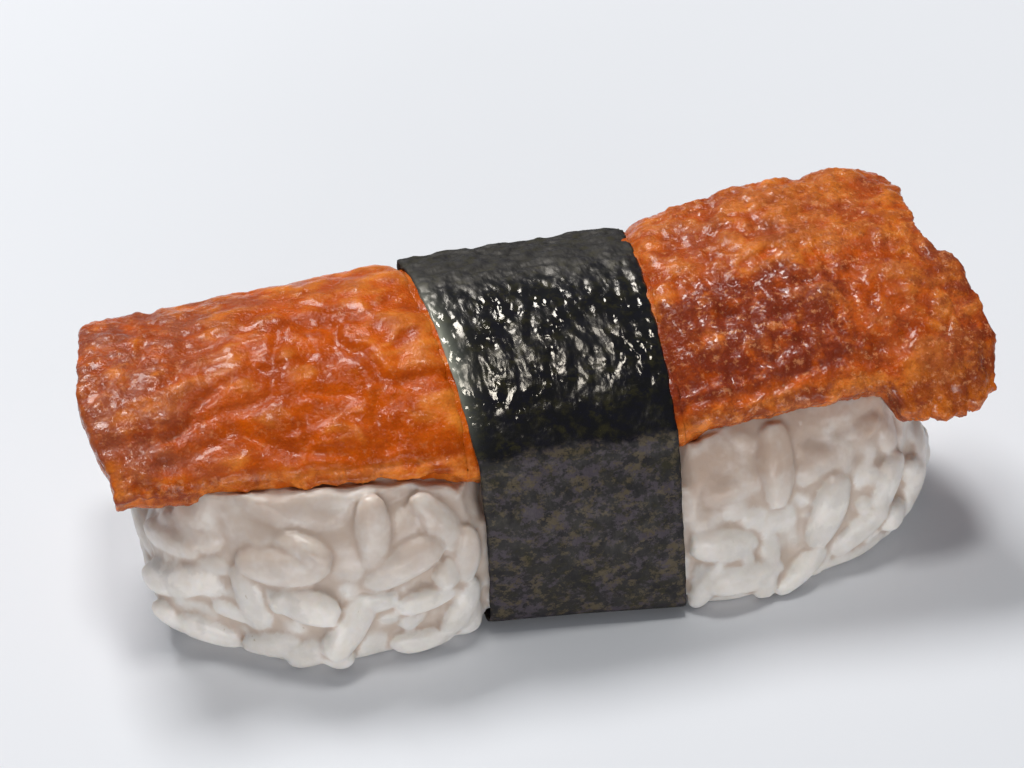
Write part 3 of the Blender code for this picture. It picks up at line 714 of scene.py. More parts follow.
def rice_material(look):
    material, board, shader = new_material("cooked_rice")
    place = board.place()
    tint, soak, deep = (board.attribute(name) for name in ("tint", "soak", "deep"))
    dull, bright = (tuple(channel * share for channel in look.white) for share in (0.9, 1.06))
    base = board.mix(tint, dull, bright)
    cloudy = mottled(board, place, 500.0, 0.3, 0.7, (0.93, 0.92, 0.90), (1.03, 1.03, 1.03))
    base = board.mix(1.0, base, cloudy, "MULTIPLY")
    # Painted shade: darker colour deep in the creases between grains.
    base = board.mix(board.times(deep, 0.7), base, look.crease_shade)
    # Sauce stain and painted shade with orange bounce light under the slab.
    stain_and_shade = board.times(soak, board.patches(place, 300.0, 3.0, 0.6, 0.25, 0.6, 0.35, 1.0))
    base = board.mix(stain_and_shade, base, look.soaked)
    speck = board.patches(place, 700.0, 2.0, 0.5, 0.755, 0.79)
    base = board.mix(board.times(speck, 0.6), base, (0.34, 0.25, 0.09))
    set_shader(
        shader, board, Base_Color=base, Roughness=board.patches(place, 380.0, 2.0, 0.5, 0.35, 0.65, 0.3, 0.5),
        IOR=1.4, Coat_Weight=0.12, Coat_Roughness=0.2,
        Subsurface_Weight=0.65, Subsurface_Radius=(1.0, 0.82, 0.62), Subsurface_Scale=0.0018,
        Normal=board.bumped(0.5, 0.0002, pores(board, place, 450.0, 1300.0, 0.15)),
    )
    return material


def nori_material(look):
    material, board, shader = new_material("seaweed")
    place = board.place()
    wet, lift, dry = (board.attribute(name) for name in ("wet", "lift", "dry"))
    base = mottled(board, place, 800.0, 0.46, 0.68, tuple(look.dark), tuple(look.olive))
    slanted = board.stretched(place, (0.75, 1.0, 1.0), (0.0, 0.5, 0.0))
    dusty = board.times(dry, board.patches(slanted, 600.0, 6.0, 0.75, 0.45, 0.56))
    base = board.mix(dusty, base, look.dust)
    brown = board.times(dry, board.patches(slanted, 900.0, 6.0, 0.75, 0.49, 0.60, 0.0, 0.9))
    base = board.mix(brown, base, look.brown)
    shade = board.patches(slanted, 1000.0, 5.0, 0.75, 0.48, 0.58)
    base = board.mix(shade, base, (0.004, 0.004, 0.008))
    # Painted highlight: a pale grey-green streak along the curled left edge.
    base = board.mix(board.times(lift, 0.95), base, (0.40, 0.42, 0.34))
    bumps = pores(board, board.stretched(place, (1.0, 0.6, 0.6)), 1300.0, 1900.0, 0.25)
    rough_dry = board.patches(place, 800.0, 3.0, 0.6, 0.3, 0.7, 0.58, 0.8)
    rough_wet = board.patches(place, 260.0, 3.0, 0.6, 0.38, 0.62, 0.05, 0.26)
    blend = board.add("ShaderNodeMix", {0: wet, 2: rough_dry, 3: rough_wet}, data_type="FLOAT").outputs[0]
    set_shader(
        shader, board, Base_Color=base, Roughness=blend, IOR=1.45, Specular_IOR_Level=0.64,
        Specular_Tint=(1.0, 0.93, 0.82, 1.0), Normal=board.bumped(0.9, 0.00010, bumps),
    )
    return material


def floor_material(look):
    material, board, shader = new_material("pale_floor")
    darker = tuple(channel * 0.985 for channel in look.floor)
    base = mottled(board, board.place(), 6.0, 0.3, 0.7, tuple(look.floor), darker)
    set_shader(shader, board, Base_Color=base, Roughness=0.6, Specular_IOR_Level=0.2)
    return material


# Tofu slab


def ragged(t, seed):
    """Uneven line of a torn rim along t, about -1 to 1, calm in places."""
    line = 0.8 * rough(t * 0.7, seed, 1.7) + 0.6 * rough(t * 1.6, seed, 5.3)
    line = line + 0.45 * rough(t * 3.7, seed, 9.1)
    return line * (0.55 + 1.3 * np.abs(rough(t * 0.23, seed, 3.9)))


def slab_base():
    """Smooth slab as points, faces and what is known at each point."""
    us, share_u = rounded_section(SLAB_COLUMNS, SLAB_HALF_LENGTH, SLAB_THICK / 2, END_POWER)
    ws, share_w = rounded_section(SLAB_ROWS, SLAB_HALF, SLAB_THICK / 2, LIP_POWER)
    u = us[:, None] + 0.0 * ws[None, :]
    w = 0.0 * us[:, None] + ws[None, :]
    y = SLAB_MIDDLE + SLAB_HALF * ws
    left = np.interp(y, LEFT_Y, LEFT_X) + 0.14 * ragged(y, 4.2)
    right = np.interp(y, RIGHT_Y, RIGHT_X) + END_ROUGH * rough(40.0 * RIM_SCALE, y * 1.6 * RIM_SCALE, 2.2)
    right = right + 0.45 * ragged(y, 9.4)
    x = left + (right - left) * (u + 1.0) / 2
    front = front_line(x) + RIM_ROUGH * rough(x * RIM_SCALE, -12.0 * RIM_SCALE, 6.1)
    back = np.interp(x, REAR_X, REAR_Y) + RIM_ROUGH * rough(x * RIM_SCALE, 13.0 * RIM_SCALE, 4.4)
    front = front + (0.14 + 0.34 * smooth(x, 26.0, 34.0)) * ragged(x, 7.7)
    back = back + (0.16 + 0.10 * smooth(-x, 22.0, 34.0)) * ragged(x, 2.6)
    covered = under_band(x, w * SLAB_HALF + SLAB_MIDDLE, COVER_REACH)
    front = front + (SLAB_MIDDLE - SLAB_HALF - front) * covered
    back = back + (SLAB_MIDDLE + SLAB_HALF - back) * covered
    y = front + (back - front) * (w + 1.0) / 2
    covered = under_band(x, y, COVER_REACH)
    half = SLAB_THICK / 2 * share_u[:, None] * share_w[None, :]
    thinner = FLAP_THINNER * smooth(-w, 0.7, 1.0) * smooth(x, FLAP_FROM - 0.6, FLAP_FROM + 2.0)
    half = half * (1.0 - thinner)
    share = half / (SLAB_THICK / 2)
    normal = normals_at(x, y)
    centre = np.stack([x, y, middle(x, y)], axis=-1)
    top = centre + normal * half[..., None]
    under = centre - normal * half[..., None]
    count = SLAB_COLUMNS * SLAB_ROWS
    index = np.arange(count).reshape(SLAB_COLUMNS, SLAB_ROWS)
    inner = np.zeros((SLAB_COLUMNS, SLAB_ROWS), bool)
    inner[1:-1, 1:-1] = True
    under_index = index.copy()
    under_index[inner] = count + np.arange(inner.sum())
    points = np.concatenate([top.reshape(-1, 3), under[inner]])
    faces = np.concatenate([grid_faces(index), grid_faces(under_index)[:, ::-1]])
    known = {
        "side": np.concatenate([np.ones(count), -np.ones(inner.sum())]),
        "covered": np.concatenate([covered.ravel(), covered[inner]]),
        "share": np.concatenate([share.ravel(), share[inner]]),
        "w": np.concatenate([w.ravel(), w[inner]]),
        "thin": np.concatenate([thinner.ravel(), thinner[inner]]) / FLAP_THINNER,
    }
    return points, faces, known


def tofu_piece(look):
    points, faces, known = slab_base()
    normal = point_normals(points, faces)
    x, y, z = points.T
    w = known["w"]
    free = 1.0 - known["covered"]
    open_top = 1.0 - under_band(x, y, 0.2, -0.6)
    groove = (under_band(x, y, 2.8) - under_band(x, y, -0.3, -1.3)) * (1.0 - smooth(np.abs(w), 0.72, 0.93))
    top = np.where(known["side"] > 0, 1.0, 0.0)
    large = wrinkle(x, y) * top * known["share"]
    right = smooth(x, 8.0, 18.0)
    left_end = smooth(-x, 20.0, 38.0)
    cut_in, stain_and_shade = creasing(x, y)
    cut_in, stain_and_shade = cut_in * top * open_top, stain_and_shade * top
    bend = rough_vector(x * 0.3, y * 0.3, z * 0.3) * 0.8
    ridged = 1.0 - np.abs(rough(x * 0.42 + bend[:, 0], y * 0.6 + bend[:, 1], z * 0.6)) * 2.6
    swell = rough(x * 0.5, y * 0.65, z * 0.65 + 7.0)
    lumps = rough(x * 0.85, y * 0.6, z * 0.7 + 3.0)
    crumb = rough(x * 1.6, y * 1.8, z * 1.9) + 0.7 * rough(x * 2.4, y * 3.0, z * 3.0)
    beside_strip = smooth(x, 9.0, 12.0) * (1.0 - smooth(x, 24.0, 33.0))
    beside_strip = beside_strip * smooth(-y, -1.5, 4.0) * (1.0 - smooth(-y, 10.0, 12.0))
    height = look.wrinkle * large * free - cut_in * METRE + 0.5 * BAND_PRESS * METRE * groove * top
    puckers = look.pucker * (ridged - 0.45) + 1.6 * look.pucker * swell
    height = height + puckers * (0.55 + 0.45 * top) * open_top
    height = height + 2.0 * look.pucker * lumps * (0.3 + right + beside_strip) * top * open_top
    crumbly = 0.45 + 1.0 * right + 0.5 * left_end
    height = height + look.crumb * crumb * crumbly * (0.5 + 0.5 * top) * open_top
    points = points + normal * (height / METRE)[:, None]
    # Colour relief: lower and creased places darker, partly soaked skin and partly painted shade, with
    # painted shade also beside the strip's edges; humps paler, partly painted sheen.
    fold = -0.3 * under_band(x, y, 1.2, 0.2) * top + 0.7 * large + 0.35 * (ridged - 0.45)
    fold = fold + 0.4 * swell + 0.4 * lumps * right - 0.9 * stain_and_shade * (0.7 + 0.6 * swell)
    rear_left = smooth(y, 2.0, 11.0) * smooth(-x, 8.0, 30.0)
    browned = np.clip(0.06 + 0.95 * left_end + 0.6 * rear_left + 0.4 * right, 0.0, 1.0)
    # Front lip: there a lighter rim colour is painted as light, and more sauce goes on it.
    lip_line = w + 0.88 + 0.03 * rough(x * 0.25, 2.0, 5.0)
    lip = smooth(-lip_line, 0.0, 0.06) * (0.6 + 0.4 * top)
    right_edge = smooth(x, 34.5, 40.0) * smooth(-y, -4.0, 1.0)
    sauce = 0.14 + 0.2 * right + 0.85 * beside_strip + 0.3 * left_end + 0.35 * lip
    sauce = np.clip(sauce + 0.4 * known["thin"] + 0.35 * right_edge, 0.0, 1.0)
    piece = new_piece("tofu_slab", points, faces, tofu_material(look), {
        "fold": fold, "browned": browned, "sauce": sauce, "thin": known["thin"] ** 3, "lip": lip,
        "grainy": 0.4 + 0.6 * right + 0.2 * left_end,
    })
    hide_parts("tofu")
    return piece


# Seaweed strip


def band_path(x):
    """Middle line of the strip in y, z at x, from its inner end underneath over the top to its outer end."""
    foot = float(np.interp(x, BAND_FOOT_X, BAND_FOOT_Y))
    half = BAND_SPACE / 2
    low = GAP + half
    high = low + BAND_SPACE + GAP + 0.02
    path = [(-6.5, high), (-2.0, high), (2.2, high), (4.2, (low + high) / 2), (6.2, low), (11.0, low)]
    path += [(13.3, low + 0.35), (14.2, 1.9), (14.4, 5.0), (14.4, 10.0), (14.2, 15.0)]
    off = GAP + half + 0.06
    for w, lean in BAND_OVER:
        y = SLAB_MIDDLE + SLAB_HALF * w
        thick = SLAB_THICK / 2 * (1.0 - abs(w) ** LIP_POWER) ** (1.0 / LIP_POWER)
        normal = normals_at(np.array(x), np.array(y))
        outward = Vector((normal[1], normal[2])).normalized()
        across = Vector((outward.y, -outward.x)) * math.copysign(1.0, w)
        push = (outward * (1.0 - lean) + across * lean).normalized()
        spot = Vector((y, float(middle(np.array(x), np.array(y))))) + outward * thick
        spot += push * (off + BAND_LIP_SPARE * lean)
        path.append((spot.x, spot.y))
    path.append(BAND_LIP)
    for z in BAND_WALL_HEIGHTS:
        y = BAND_SHOULDER + (foot - BAND_SHOULDER) * lean_share(x, z) + half
        path.append((y, z))
    path += [(foot + 1.3, low + 0.12), (foot + 3.5, low), (-8.0, low), (-3.0, low), (1.3, low)]
    return np.array(path)


def lean_share(x, z):
    """How far the wall stands out at height z, 1 at the foot and 0 at the shoulder."""
    power = np.interp(x, LEAN_X, LEAN)
    return 1.0 - np.clip(np.maximum(z, 0.0) / WALL_HEIGHT, 0.0, 1.0) ** power


def open_spline(points, per_span):
    """Points along a smooth open curve through the given ones, with the given count per span."""
    ends = np.concatenate([[2 * points[0] - points[1]], points, [2 * points[-1] - points[-2]]])
    f = np.linspace(0.0, 1.0, per_span, endpoint=False)[:, None]
    line = [curve_between(ends[k - 1 : k + 3], f) for k in range(1, len(ends) - 2)]
    line.append(points[-1:])
    return np.concatenate(line)


def nori_piece(look):
    """The strip as a closed thin sheet over a fine grid, crumpled where it is free."""
    shares = np.linspace(0.0, 1.0, STRIP_COLUMNS)
    keys = np.linspace(0.0, 1.0, 9)
    lines = []
    for share in keys:
        path = band_path(BAND_LEFT[1] + share * (BAND_RIGHT[1] - BAND_LEFT[1]))
        fine = open_spline(path, 24)
        step = np.linspace(0, len(fine) - 1, STRIP_ROWS)
        whole = np.arange(len(fine))
        lines.append([np.interp(step, whole, fine[:, axis]) for axis in (0, 1)])
    spans = len(path) - 1
    place = np.linspace(0.0, spans, STRIP_ROWS)
    lines = np.array(lines)
    y, z = (
        np.stack([np.interp(shares, keys, lines[:, axis, row]) for row in range(STRIP_ROWS)], axis=-1)
        for axis in (0, 1)
    )
    back = place[None, :] <= BAND_REAR_TOP
    left, right = band_edges(np.where(back, BAND_BACK, y))
    centre_line = STRIP_COLUMNS // 2
    run = np.cumsum(np.concatenate([[0.0], np.hypot(np.diff(y[centre_line]), np.diff(z[centre_line]))]))
    edge_left = 0.13 * rough(run * 0.45, 7.7, 3.1) + 0.05 * rough(run * 1.6, 2.2, 8.1)
    edge_right = 0.13 * rough(run * 0.45, 1.7, 9.1) + 0.05 * rough(run * 1.6, 5.2, 4.1)
    share = shares[:, None]
    x = left + (right - left) * share + edge_left * (1 - share) ** 3 + edge_right * share**3
    points = np.stack([x, y, z], axis=-1)
    index = np.arange(x.size).reshape(x.shape)
    sheet_faces = grid_faces(index)
    normal = point_normals(points.reshape(-1, 3), sheet_faces).reshape(points.shape)
    last_free, first_flat = (spans - count for count in BAND_FREE_END)
    free = smooth(place, *BAND_FREE) * (1.0 - smooth(place, last_free, first_flat))
    edge = BAND_DRY + 0.25 * (share - 0.5) + 0.35 * rough(x * 0.35, 0.4, 6.6)
    edge = edge + 0.12 * rough(x * 1.7, 0.4, 2.6)
    dry = smooth(place[None, :] - edge, -0.5, 0.25)
    wet = (1.0 - dry) * smooth(place, *BAND_WET)[None, :]
    s = run[None, :]
    wave = 0.42 * np.maximum(rough(x * 0.18, s * 0.16, 2.9) + 0.2, 0.0)
    drift = 0.9 * rough_vector(x * 0.2, s * 0.2, 5.1)
    streak = rough(x * 0.9 + drift[..., 0], s * 0.55 + drift[..., 1], 7.1)
    streak = streak + 0.6 * rough(x * 1.9 + drift[..., 1], s * 1.1, 4.4)
    cross = rough(x * 0.4, s * 0.9, 1.1) + 0.6 * rough(x * 1.1, s * 1.9, 6.4)
    rear = 1.0 - smooth(place, *BAND_REAR)
    crumple = look.crumple / METRE * (streak * (1.0 - rear) + 1.8 * cross * rear)
    fibre = 0.03 * rough(x * 2.8, s * 2.6, 0.4)
    calm = 0.75 * smooth(place, *BAND_CALM)
    height = free[None, :] * (0.35 * wave + np.maximum(crumple, -0.13) * (1.0 - calm) + fibre)
    curl = 0.10 * (np.exp(-share * 26.0) + np.exp(-(1.0 - share) * 26.0)) * free[None, :]
    centre = points + normal * (height + curl)[..., None]
    half = look.thickness / METRE / 2
    taper = 1.0 - 0.45 * (np.exp(-share * 90.0) + np.exp(-(1.0 - share) * 90.0))
    outer = centre + normal * (half * taper)[..., None]
    inner = centre - normal * (half * taper)[..., None]
    count = x.size
    faces = [sheet_faces, grid_faces(index + count)[:, ::-1]]
    rim = np.concatenate([index[:, 0], index[-1, 1:], index[-2::-1, -1], index[0, -2:0:-1]])
    after = np.roll(rim, -1)
    faces.append(np.stack([after, rim, rim + count, after + count], axis=-1))
    # Painted highlight where the left edge curls up.
    lift = np.exp(-share * 32.0) * np.exp(-(((place - BAND_EDGE_GLINT) / 2.4) ** 2))
    piece = new_piece(
        "nori_strip", np.concatenate([outer.reshape(-1, 3), inner.reshape(-1, 3)]), np.concatenate(faces),
        nori_material(look),
        {"wet": np.tile(wet.ravel(), 2), "lift": np.tile(lift.ravel(), 2), "dry": np.tile(dry.ravel(), 2)},
    )
    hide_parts("nori")
    return piece


# Rice


def ceiling(x, y):
    """Highest level the rice may reach at x, y: just under the slab, level beyond its edges."""
    front = front_line(x)
    inner = np.clip(y, np.maximum(front, -12.2), 12.6)
    slope = normals_at(x, inner)
    return middle(x, inner, 6.5, 3.0) - (SLAB_THICK / 2 + GAP + 0.15) / slope[..., 2]


def wall(t, z, inset):
    """Points of the rice wall at turn t and height z, drawn in by inset."""
    foot = spline(FOOT, t)
    top = spline(SHOULDER, t)
    along = spline(FOOT, np.asarray(t) + 0.004) - spline(FOOT, np.asarray(t) - 0.004)
    along = along / np.linalg.norm(along, axis=-1, keepdims=True)
    outward = np.stack([along[..., 1], -along[..., 0]], axis=-1)
    share = lean_share(foot[..., 0], z)
    spot = top + (foot - top) * share[..., None]
    ends = smooth(np.abs(foot[..., 0] - 0.5), 28.0, 36.0)
    bulge = END_BULGE * ends * np.sin(math.pi * np.minimum(z / 13.0, 1.0))
    tuck = (1.0 - np.minimum(z / 1.6, 1.0)) ** 2
    return spot + outward * (bulge - inset - 1.1 * tuck)[..., None]


def heap_top(x, y):
    """Height of the heap at x, y: close under the slab, and up to its lip where it stands out past it."""
    past = front_line(x) - y
    uneven = 1.0 + 0.16 * rough(x * 0.5, y * 0.5, 3.3)
    rise = LEDGE_RISE * uneven * smooth(past, -2.2, -0.8) * (1.0 - smooth(past, 1.4, 4.4))
    return ceiling(x, y) + np.minimum(rise, LEDGE_LIMIT[0] + LEDGE_LIMIT[1] * np.maximum(past, 0.0))


def grain_level(x, y):
    """Highest place of a loose grain at x, y: under the slab's lip, and higher the further it stands out."""
    past = front_line(x) - y
    return ceiling(x, y) + GRAIN_LEAN * np.clip(past, 0.0, 6.0)


def core_mesh():
    """Fine rings from the flat underside up the wall and over the top, as points, quads and the rings."""
    t = np.arange(CORE_RING) / CORE_RING
    guess = wall(t, np.full_like(t, 14.0), 0.0 * t + CORE_INSET)
    high = ceiling(guess[:, 0], guess[:, 1])
    covered = under_band(guess[:, 0], guess[:, 1], 1.8)
    high = high + (heap_top(guess[:, 0], guess[:, 1]) - high) * (1.0 - covered)
    inset = CORE_INSET + (CORE_INSET_BAND - CORE_INSET) * covered
    rings = []
    for shrink in np.linspace(0.02, 0.97, 26):
        spot = wall(t, 0.0 * t, inset) * shrink
        lift = 0.05 + (BAND_FLOOR - 0.05) * under_band(spot[:, 0], spot[:, 1], 0.9, 0.3)
        rings.append(np.column_stack([spot, lift]))
    for level in np.linspace(0.0, 1.0, 46):
        z = 0.05 + level * (high - 0.2 * (1.0 - covered))
        spot = wall(t, z, inset + 0.3 * smooth(level, 0.85, 1.0) * (1.0 - covered))
        z = np.maximum(z, BAND_FLOOR * covered)
        rings.append(np.column_stack([spot, z]))
    rim = rings[-1]
    centre = np.array(CORE_TOP_MIDDLE)
    for shrink in np.concatenate([np.linspace(0.985, 0.7, 22), np.linspace(0.66, 0.02, 16)]):
        spot = centre + (rim[:, :2] - centre) * shrink
        flat = ceiling(spot[:, 0], spot[:, 1])
        raised = (heap_top(spot[:, 0], spot[:, 1]) - flat) * (1.0 - covered)
        rings.append(np.column_stack([spot, flat + raised]))
    points = np.concatenate(rings)
    index = np.arange(len(points)).reshape(len(rings), CORE_RING)
    index = np.concatenate([index, index[:, :1]], axis=1)
    faces = grid_faces(index)[:, ::-1]
    return points, faces, rings


def closed_core():
    """The core as points and triangles, closed at the middle of its underside and its top."""
    points, faces, rings = core_mesh()
    normal = point_normals(points, faces)
    x, y, z = points.T
    bumps = 0.45 * rough(x * 0.35, y * 0.35, z * 0.4) + 0.34 * rough(x * 0.6, y * 0.6, z * 0.6)
    wall_part = smooth(normal[:, 2], 0.75, 0.4) * smooth(z, 0.2, 1.5)
    points = points + normal * ((bumps - 0.15) * wall_part)[:, None]
    triangles = np.concatenate([faces[:, [0, 1, 2]], faces[:, [0, 2, 3]]])
    caps = []
    for start, turn in ((0, 1), ((len(rings) - 1) * CORE_RING, -1)):
        ring = np.arange(start, start + CORE_RING)
        middle_point = len(points)
        points = np.concatenate([points, points[ring].mean(axis=0, keepdims=True)])
        trio = np.column_stack([np.full(CORE_RING, middle_point), np.roll(ring, -1), ring])
        caps.append(trio[:, ::turn])
    return points, np.concatenate([triangles, *caps])


def fused(points, faces):
    """One skin round everything that overlaps, its creases filled as sticky rice fills them."""
    mesh = bpy.data.meshes.new("heap_parts")
    mesh.from_pydata((points * METRE).tolist(), [], faces.tolist())
    obj = bpy.data.objects.new("heap_parts", mesh)
    bpy.context.scene.collection.objects.link(obj)
    skin = obj.modifiers.new("skin", "REMESH")
    skin.mode = "VOXEL"
    skin.voxel_size = HEAP_VOXEL * METRE
    even = obj.modifiers.new("even", "SMOOTH")
    even.factor = 0.5
    even.iterations = HEAP_SMOOTHING
    fewer = obj.modifiers.new("fewer", "DECIMATE")
    fewer.ratio = HEAP_KEPT
    fewer.use_collapse_triangulate = True
    bpy.context.view_layer.update()
    made = obj.evaluated_get(bpy.context.evaluated_depsgraph_get()).to_mesh()
    spots = np.empty(len(made.vertices) * 3, np.float32)
    made.vertices.foreach_get("co", spots)
    corners = np.empty(len(made.loops), np.int32)
    made.loops.foreach_get("vertex_index", corners)
    obj.evaluated_get(bpy.context.evaluated_depsgraph_get()).to_mesh_clear()
    bpy.data.objects.remove(obj)
    bpy.data.meshes.remove(mesh)
    return without_folds(spots.reshape(-1, 3).astype(float) / METRE, corners.reshape(-1, 3))


def without_folds(points, faces):
    """The mesh without pairs of triangles that lie face to face on the same three points."""
    _, kind, times = np.unique(np.sort(faces, axis=1), axis=0, return_inverse=True, return_counts=True)
    used, faces = np.unique(faces[times[kind.ravel()] == 1], return_inverse=True)
    return points[used], faces.reshape(-1, 3)


def cavities(points, faces):
    """1 deep in a crease between grains, 0 on their backs."""
    pairs = np.concatenate([faces[:, [k, (k + 1) % 3]] for k in range(3)])
    count = np.bincount(pairs[:, 0], minlength=len(points))[:, None]
    even = points.copy()
    for _ in range(CAVITY_ROUNDS):
        total = np.zeros_like(even)
        for axis in range(3):
            total[:, axis] = np.bincount(pairs[:, 0], even[pairs[:, 1], axis], minlength=len(points))
        even = total / np.maximum(count, 1)
    inward = ((even - points) * point_normals(points, faces)).sum(axis=1)
    return smooth(inward, 0.0, CAVITY_DEPTH)


def soaking_and_shade(points):
    """How much the rice is darkened and browned under the slab: partly sauce run into it, partly painted
    shade and orange bounce light.
    """
    x, y, z = points.T
    high = ceiling(x, y)
    return np.clip(smooth(high - z, 5.5, -0.4) * (0.75 + 0.35 * smooth(x, 0.0, 20.0)), 0.0, 1.0)


def unit_grain():
    """Points and triangles of a grain of half length and girth 1, in rings with a point at each end."""
    rings = []
    for r in range(1, GRAIN_RINGS):
        angle = math.pi * r / GRAIN_RINGS
        turn = 2.0 * math.pi * (np.arange(GRAIN_SIDES) + 0.5 * (r % 2)) / GRAIN_SIDES
        along = np.full(GRAIN_SIDES, -math.cos(angle))
        girth = math.sin(angle) ** 0.78
        rings.append(np.column_stack([along, np.cos(turn) * girth, np.sin(turn) * girth]))
    points = np.concatenate([[(-1.0, 0.0, 0.0)], *rings, [(1.0, 0.0, 0.0)]])
    faces = []
    tip = len(points) - 1
    last = 1 + (GRAIN_RINGS - 2) * GRAIN_SIDES
    for s in range(GRAIN_SIDES):
        n = (s + 1) % GRAIN_SIDES
        faces += [(0, 1 + n, 1 + s), (tip, last + s, last + n)]
        for r in range(GRAIN_RINGS - 2):
            a, b = 1 + r * GRAIN_SIDES + s, 1 + r * GRAIN_SIDES + n
            c, d = a + GRAIN_SIDES, b + GRAIN_SIDES
            faces += [(a, b, c), (b, d, c)] if r % 2 else [(a, b, d), (a, d, c)]
    return points, np.array(faces)


def laid_grain(spot, out, turn, size, lift=0.0, proud=GRAIN_PROUD):
    """A grain on the heap: size, middle, direction of its length, outward direction, and rise allowed."""
    side = Vector((0.0, 0.0, 1.0)).cross(out).normalized()
    axis = side * math.cos(turn) + out.cross(side) * math.sin(turn)
    axis = (axis * math.cos(lift) + out * math.sin(lift)).normalized()
    return size, spot, axis, out, proud


def outer_frames(draw, points, normals):
    """Grains side by side all over the part of the heap that shows, the marked ones first."""
    x, y, z = points.T
    steep_or_front = (normals[:, 2] < 0.8) | (y < front_line(x) + 0.6)
    shows = (z > 1.5) & steep_or_front & (normals[:, 2] > -0.4)
    chosen = np.flatnonzero(shows & (under_band(x, y, -1.2, -2.4) < 0.5))
    wall_points = np.flatnonzero((np.abs(normals[:, 2]) < 0.75) & (z > 0.8))
    tries = []
    for place, turn, size in MARKED_GRAINS:
        nearest = wall_points[np.argmin(((points[wall_points] - place) ** 2).sum(axis=1))]
        out = Vector(normals[nearest] * (1.0, 1.0, 0.6)).normalized()
        tries.append(laid_grain(Vector(place) - out * 1.0, out, math.radians(turn), size, proud=MARKED_PROUD))
    marked = len(tries)
    for _ in range(GRAIN_TRIES):
        k = chosen[draw.randrange(len(chosen))]
        out = Vector(normals[k])
        near_foot = 1.0 - min(max((z[k] - 2.0) / 4.0, 0.0), 1.0)
        turned_up = min(max((out.z - 0.15) / 0.4, 0.0), 1.0)
        turn = draw.uniform(-1.5, 1.5) * (1.0 - 0.8 * near_foot) * (1.0 - 0.85 * turned_up)
        spot = Vector(points[k]) - out * (draw.uniform(0.0, 0.6) + 0.55 * turned_up)
        tries.append(laid_grain(spot, out, turn, draw.uniform(0.88, 1.18), draw.uniform(-0.2, 0.2)))
    return tries, marked


def apart(tries, gap, make, kept_first=0):
    """Points of the grains that can be made and, after the first kept_first, keep the gap to the others."""
    taken, stops = [], np.empty((0, 3))
    for number, item in enumerate(tries):
        size, spot, axis = item[:3]
        own = np.array(spot) + np.array(axis) * (AXIS_STOPS * GRAIN_LENGTH * size)[:, None]
        if number >= kept_first and len(stops):
            near = np.linalg.norm(own[:, None] - stops[None], axis=2).min()
            if near < gap:
                continue
        spots = make(item)
        if spots is None:
            continue
        taken.append(spots)
        stops = np.concatenate([stops, own])
    return taken


def inner_frames(draw, points, normals):
    """A deeper layer of grains that fills the gaps."""
    chosen = np.flatnonzero((points[:, 2] > 1.6) & (normals[:, 2] < 0.8) & (normals[:, 2] > -0.4))
    tries = []
    for _ in range(GRAIN_TRIES // 2):
        k = chosen[draw.randrange(len(chosen))]
        out = Vector(normals[k])
        spot = Vector(points[k]) - out * draw.uniform(0.7, 1.1)
        turn, size, lift = (draw.uniform(*span) for span in ((-1.5, 1.5), (0.85, 1.1), (-0.3, 0.3)))
        tries.append(laid_grain(spot, out, turn, size, lift))
    return tries


def under_frames(draw):
    """Grains pressed flat on the underside."""
    frames = []
    for _ in range(UNDER_TRIES):
        t = draw.random()
        reach = math.sqrt(draw.random()) * 0.84
        spot = wall(np.array(t), np.array(1.0), np.array(1.0)) * reach
        if float(under_band(spot[0], spot[1], 2.6)) > 0.0:
            continue
        turn = draw.uniform(0.0, math.pi)
        axis = Vector((math.cos(turn), math.sin(turn), draw.uniform(-0.08, 0.08))).normalized()
        down = Vector((0.0, 0.0, -1.0))
        frames.append((draw.uniform(0.85, 1.1), Vector((spot[0], spot[1], 1.25)), axis, down, GRAIN_PROUD))
    return frames


def clear_of(tree, point, least, sink):
    """Whether a point is clear of a closed surface, in metres.

    Nearer than least it isn't, unless the surface has a sink: within that of it, on either side, it is.
    Further off, it has to be outside.
    """
    reach = tree.find_nearest(point)[3]
    if reach < max(least, sink):
        return sink > 0.0
    crossings = 0
    start = point.copy()
    while True:
        hit = tree.ray_cast(start, RAY)[0]
        if hit is None:
            return crossings % 2 == 0
        crossings += 1
        start = hit + RAY * RAY_STEP


def node_tree_of(name):
    """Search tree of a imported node's surface."""
    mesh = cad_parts[name].data
    mesh.calc_loop_triangles()
    points = [vertex.co.copy() for vertex in mesh.vertices]
    return BVHTree.FromPolygons(points, [tuple(face.vertices) for face in mesh.loop_triangles])


def over_strip(spots, strip):
    """Whether part of a grain lies outside the strip that should be round it."""
    x, y, _ = spots.T
    inside = spots[under_band(x, y, 0.1, 0.0) > 0.5]
    outward = np.column_stack([0.0 * inside[:, 0], np.sign(inside[:, 1]), 0.0 * inside[:, 0]])
    return any(strip.ray_cast(Vector(p), Vector(d))[0] is None for p, d in zip(to_row(inside), outward))


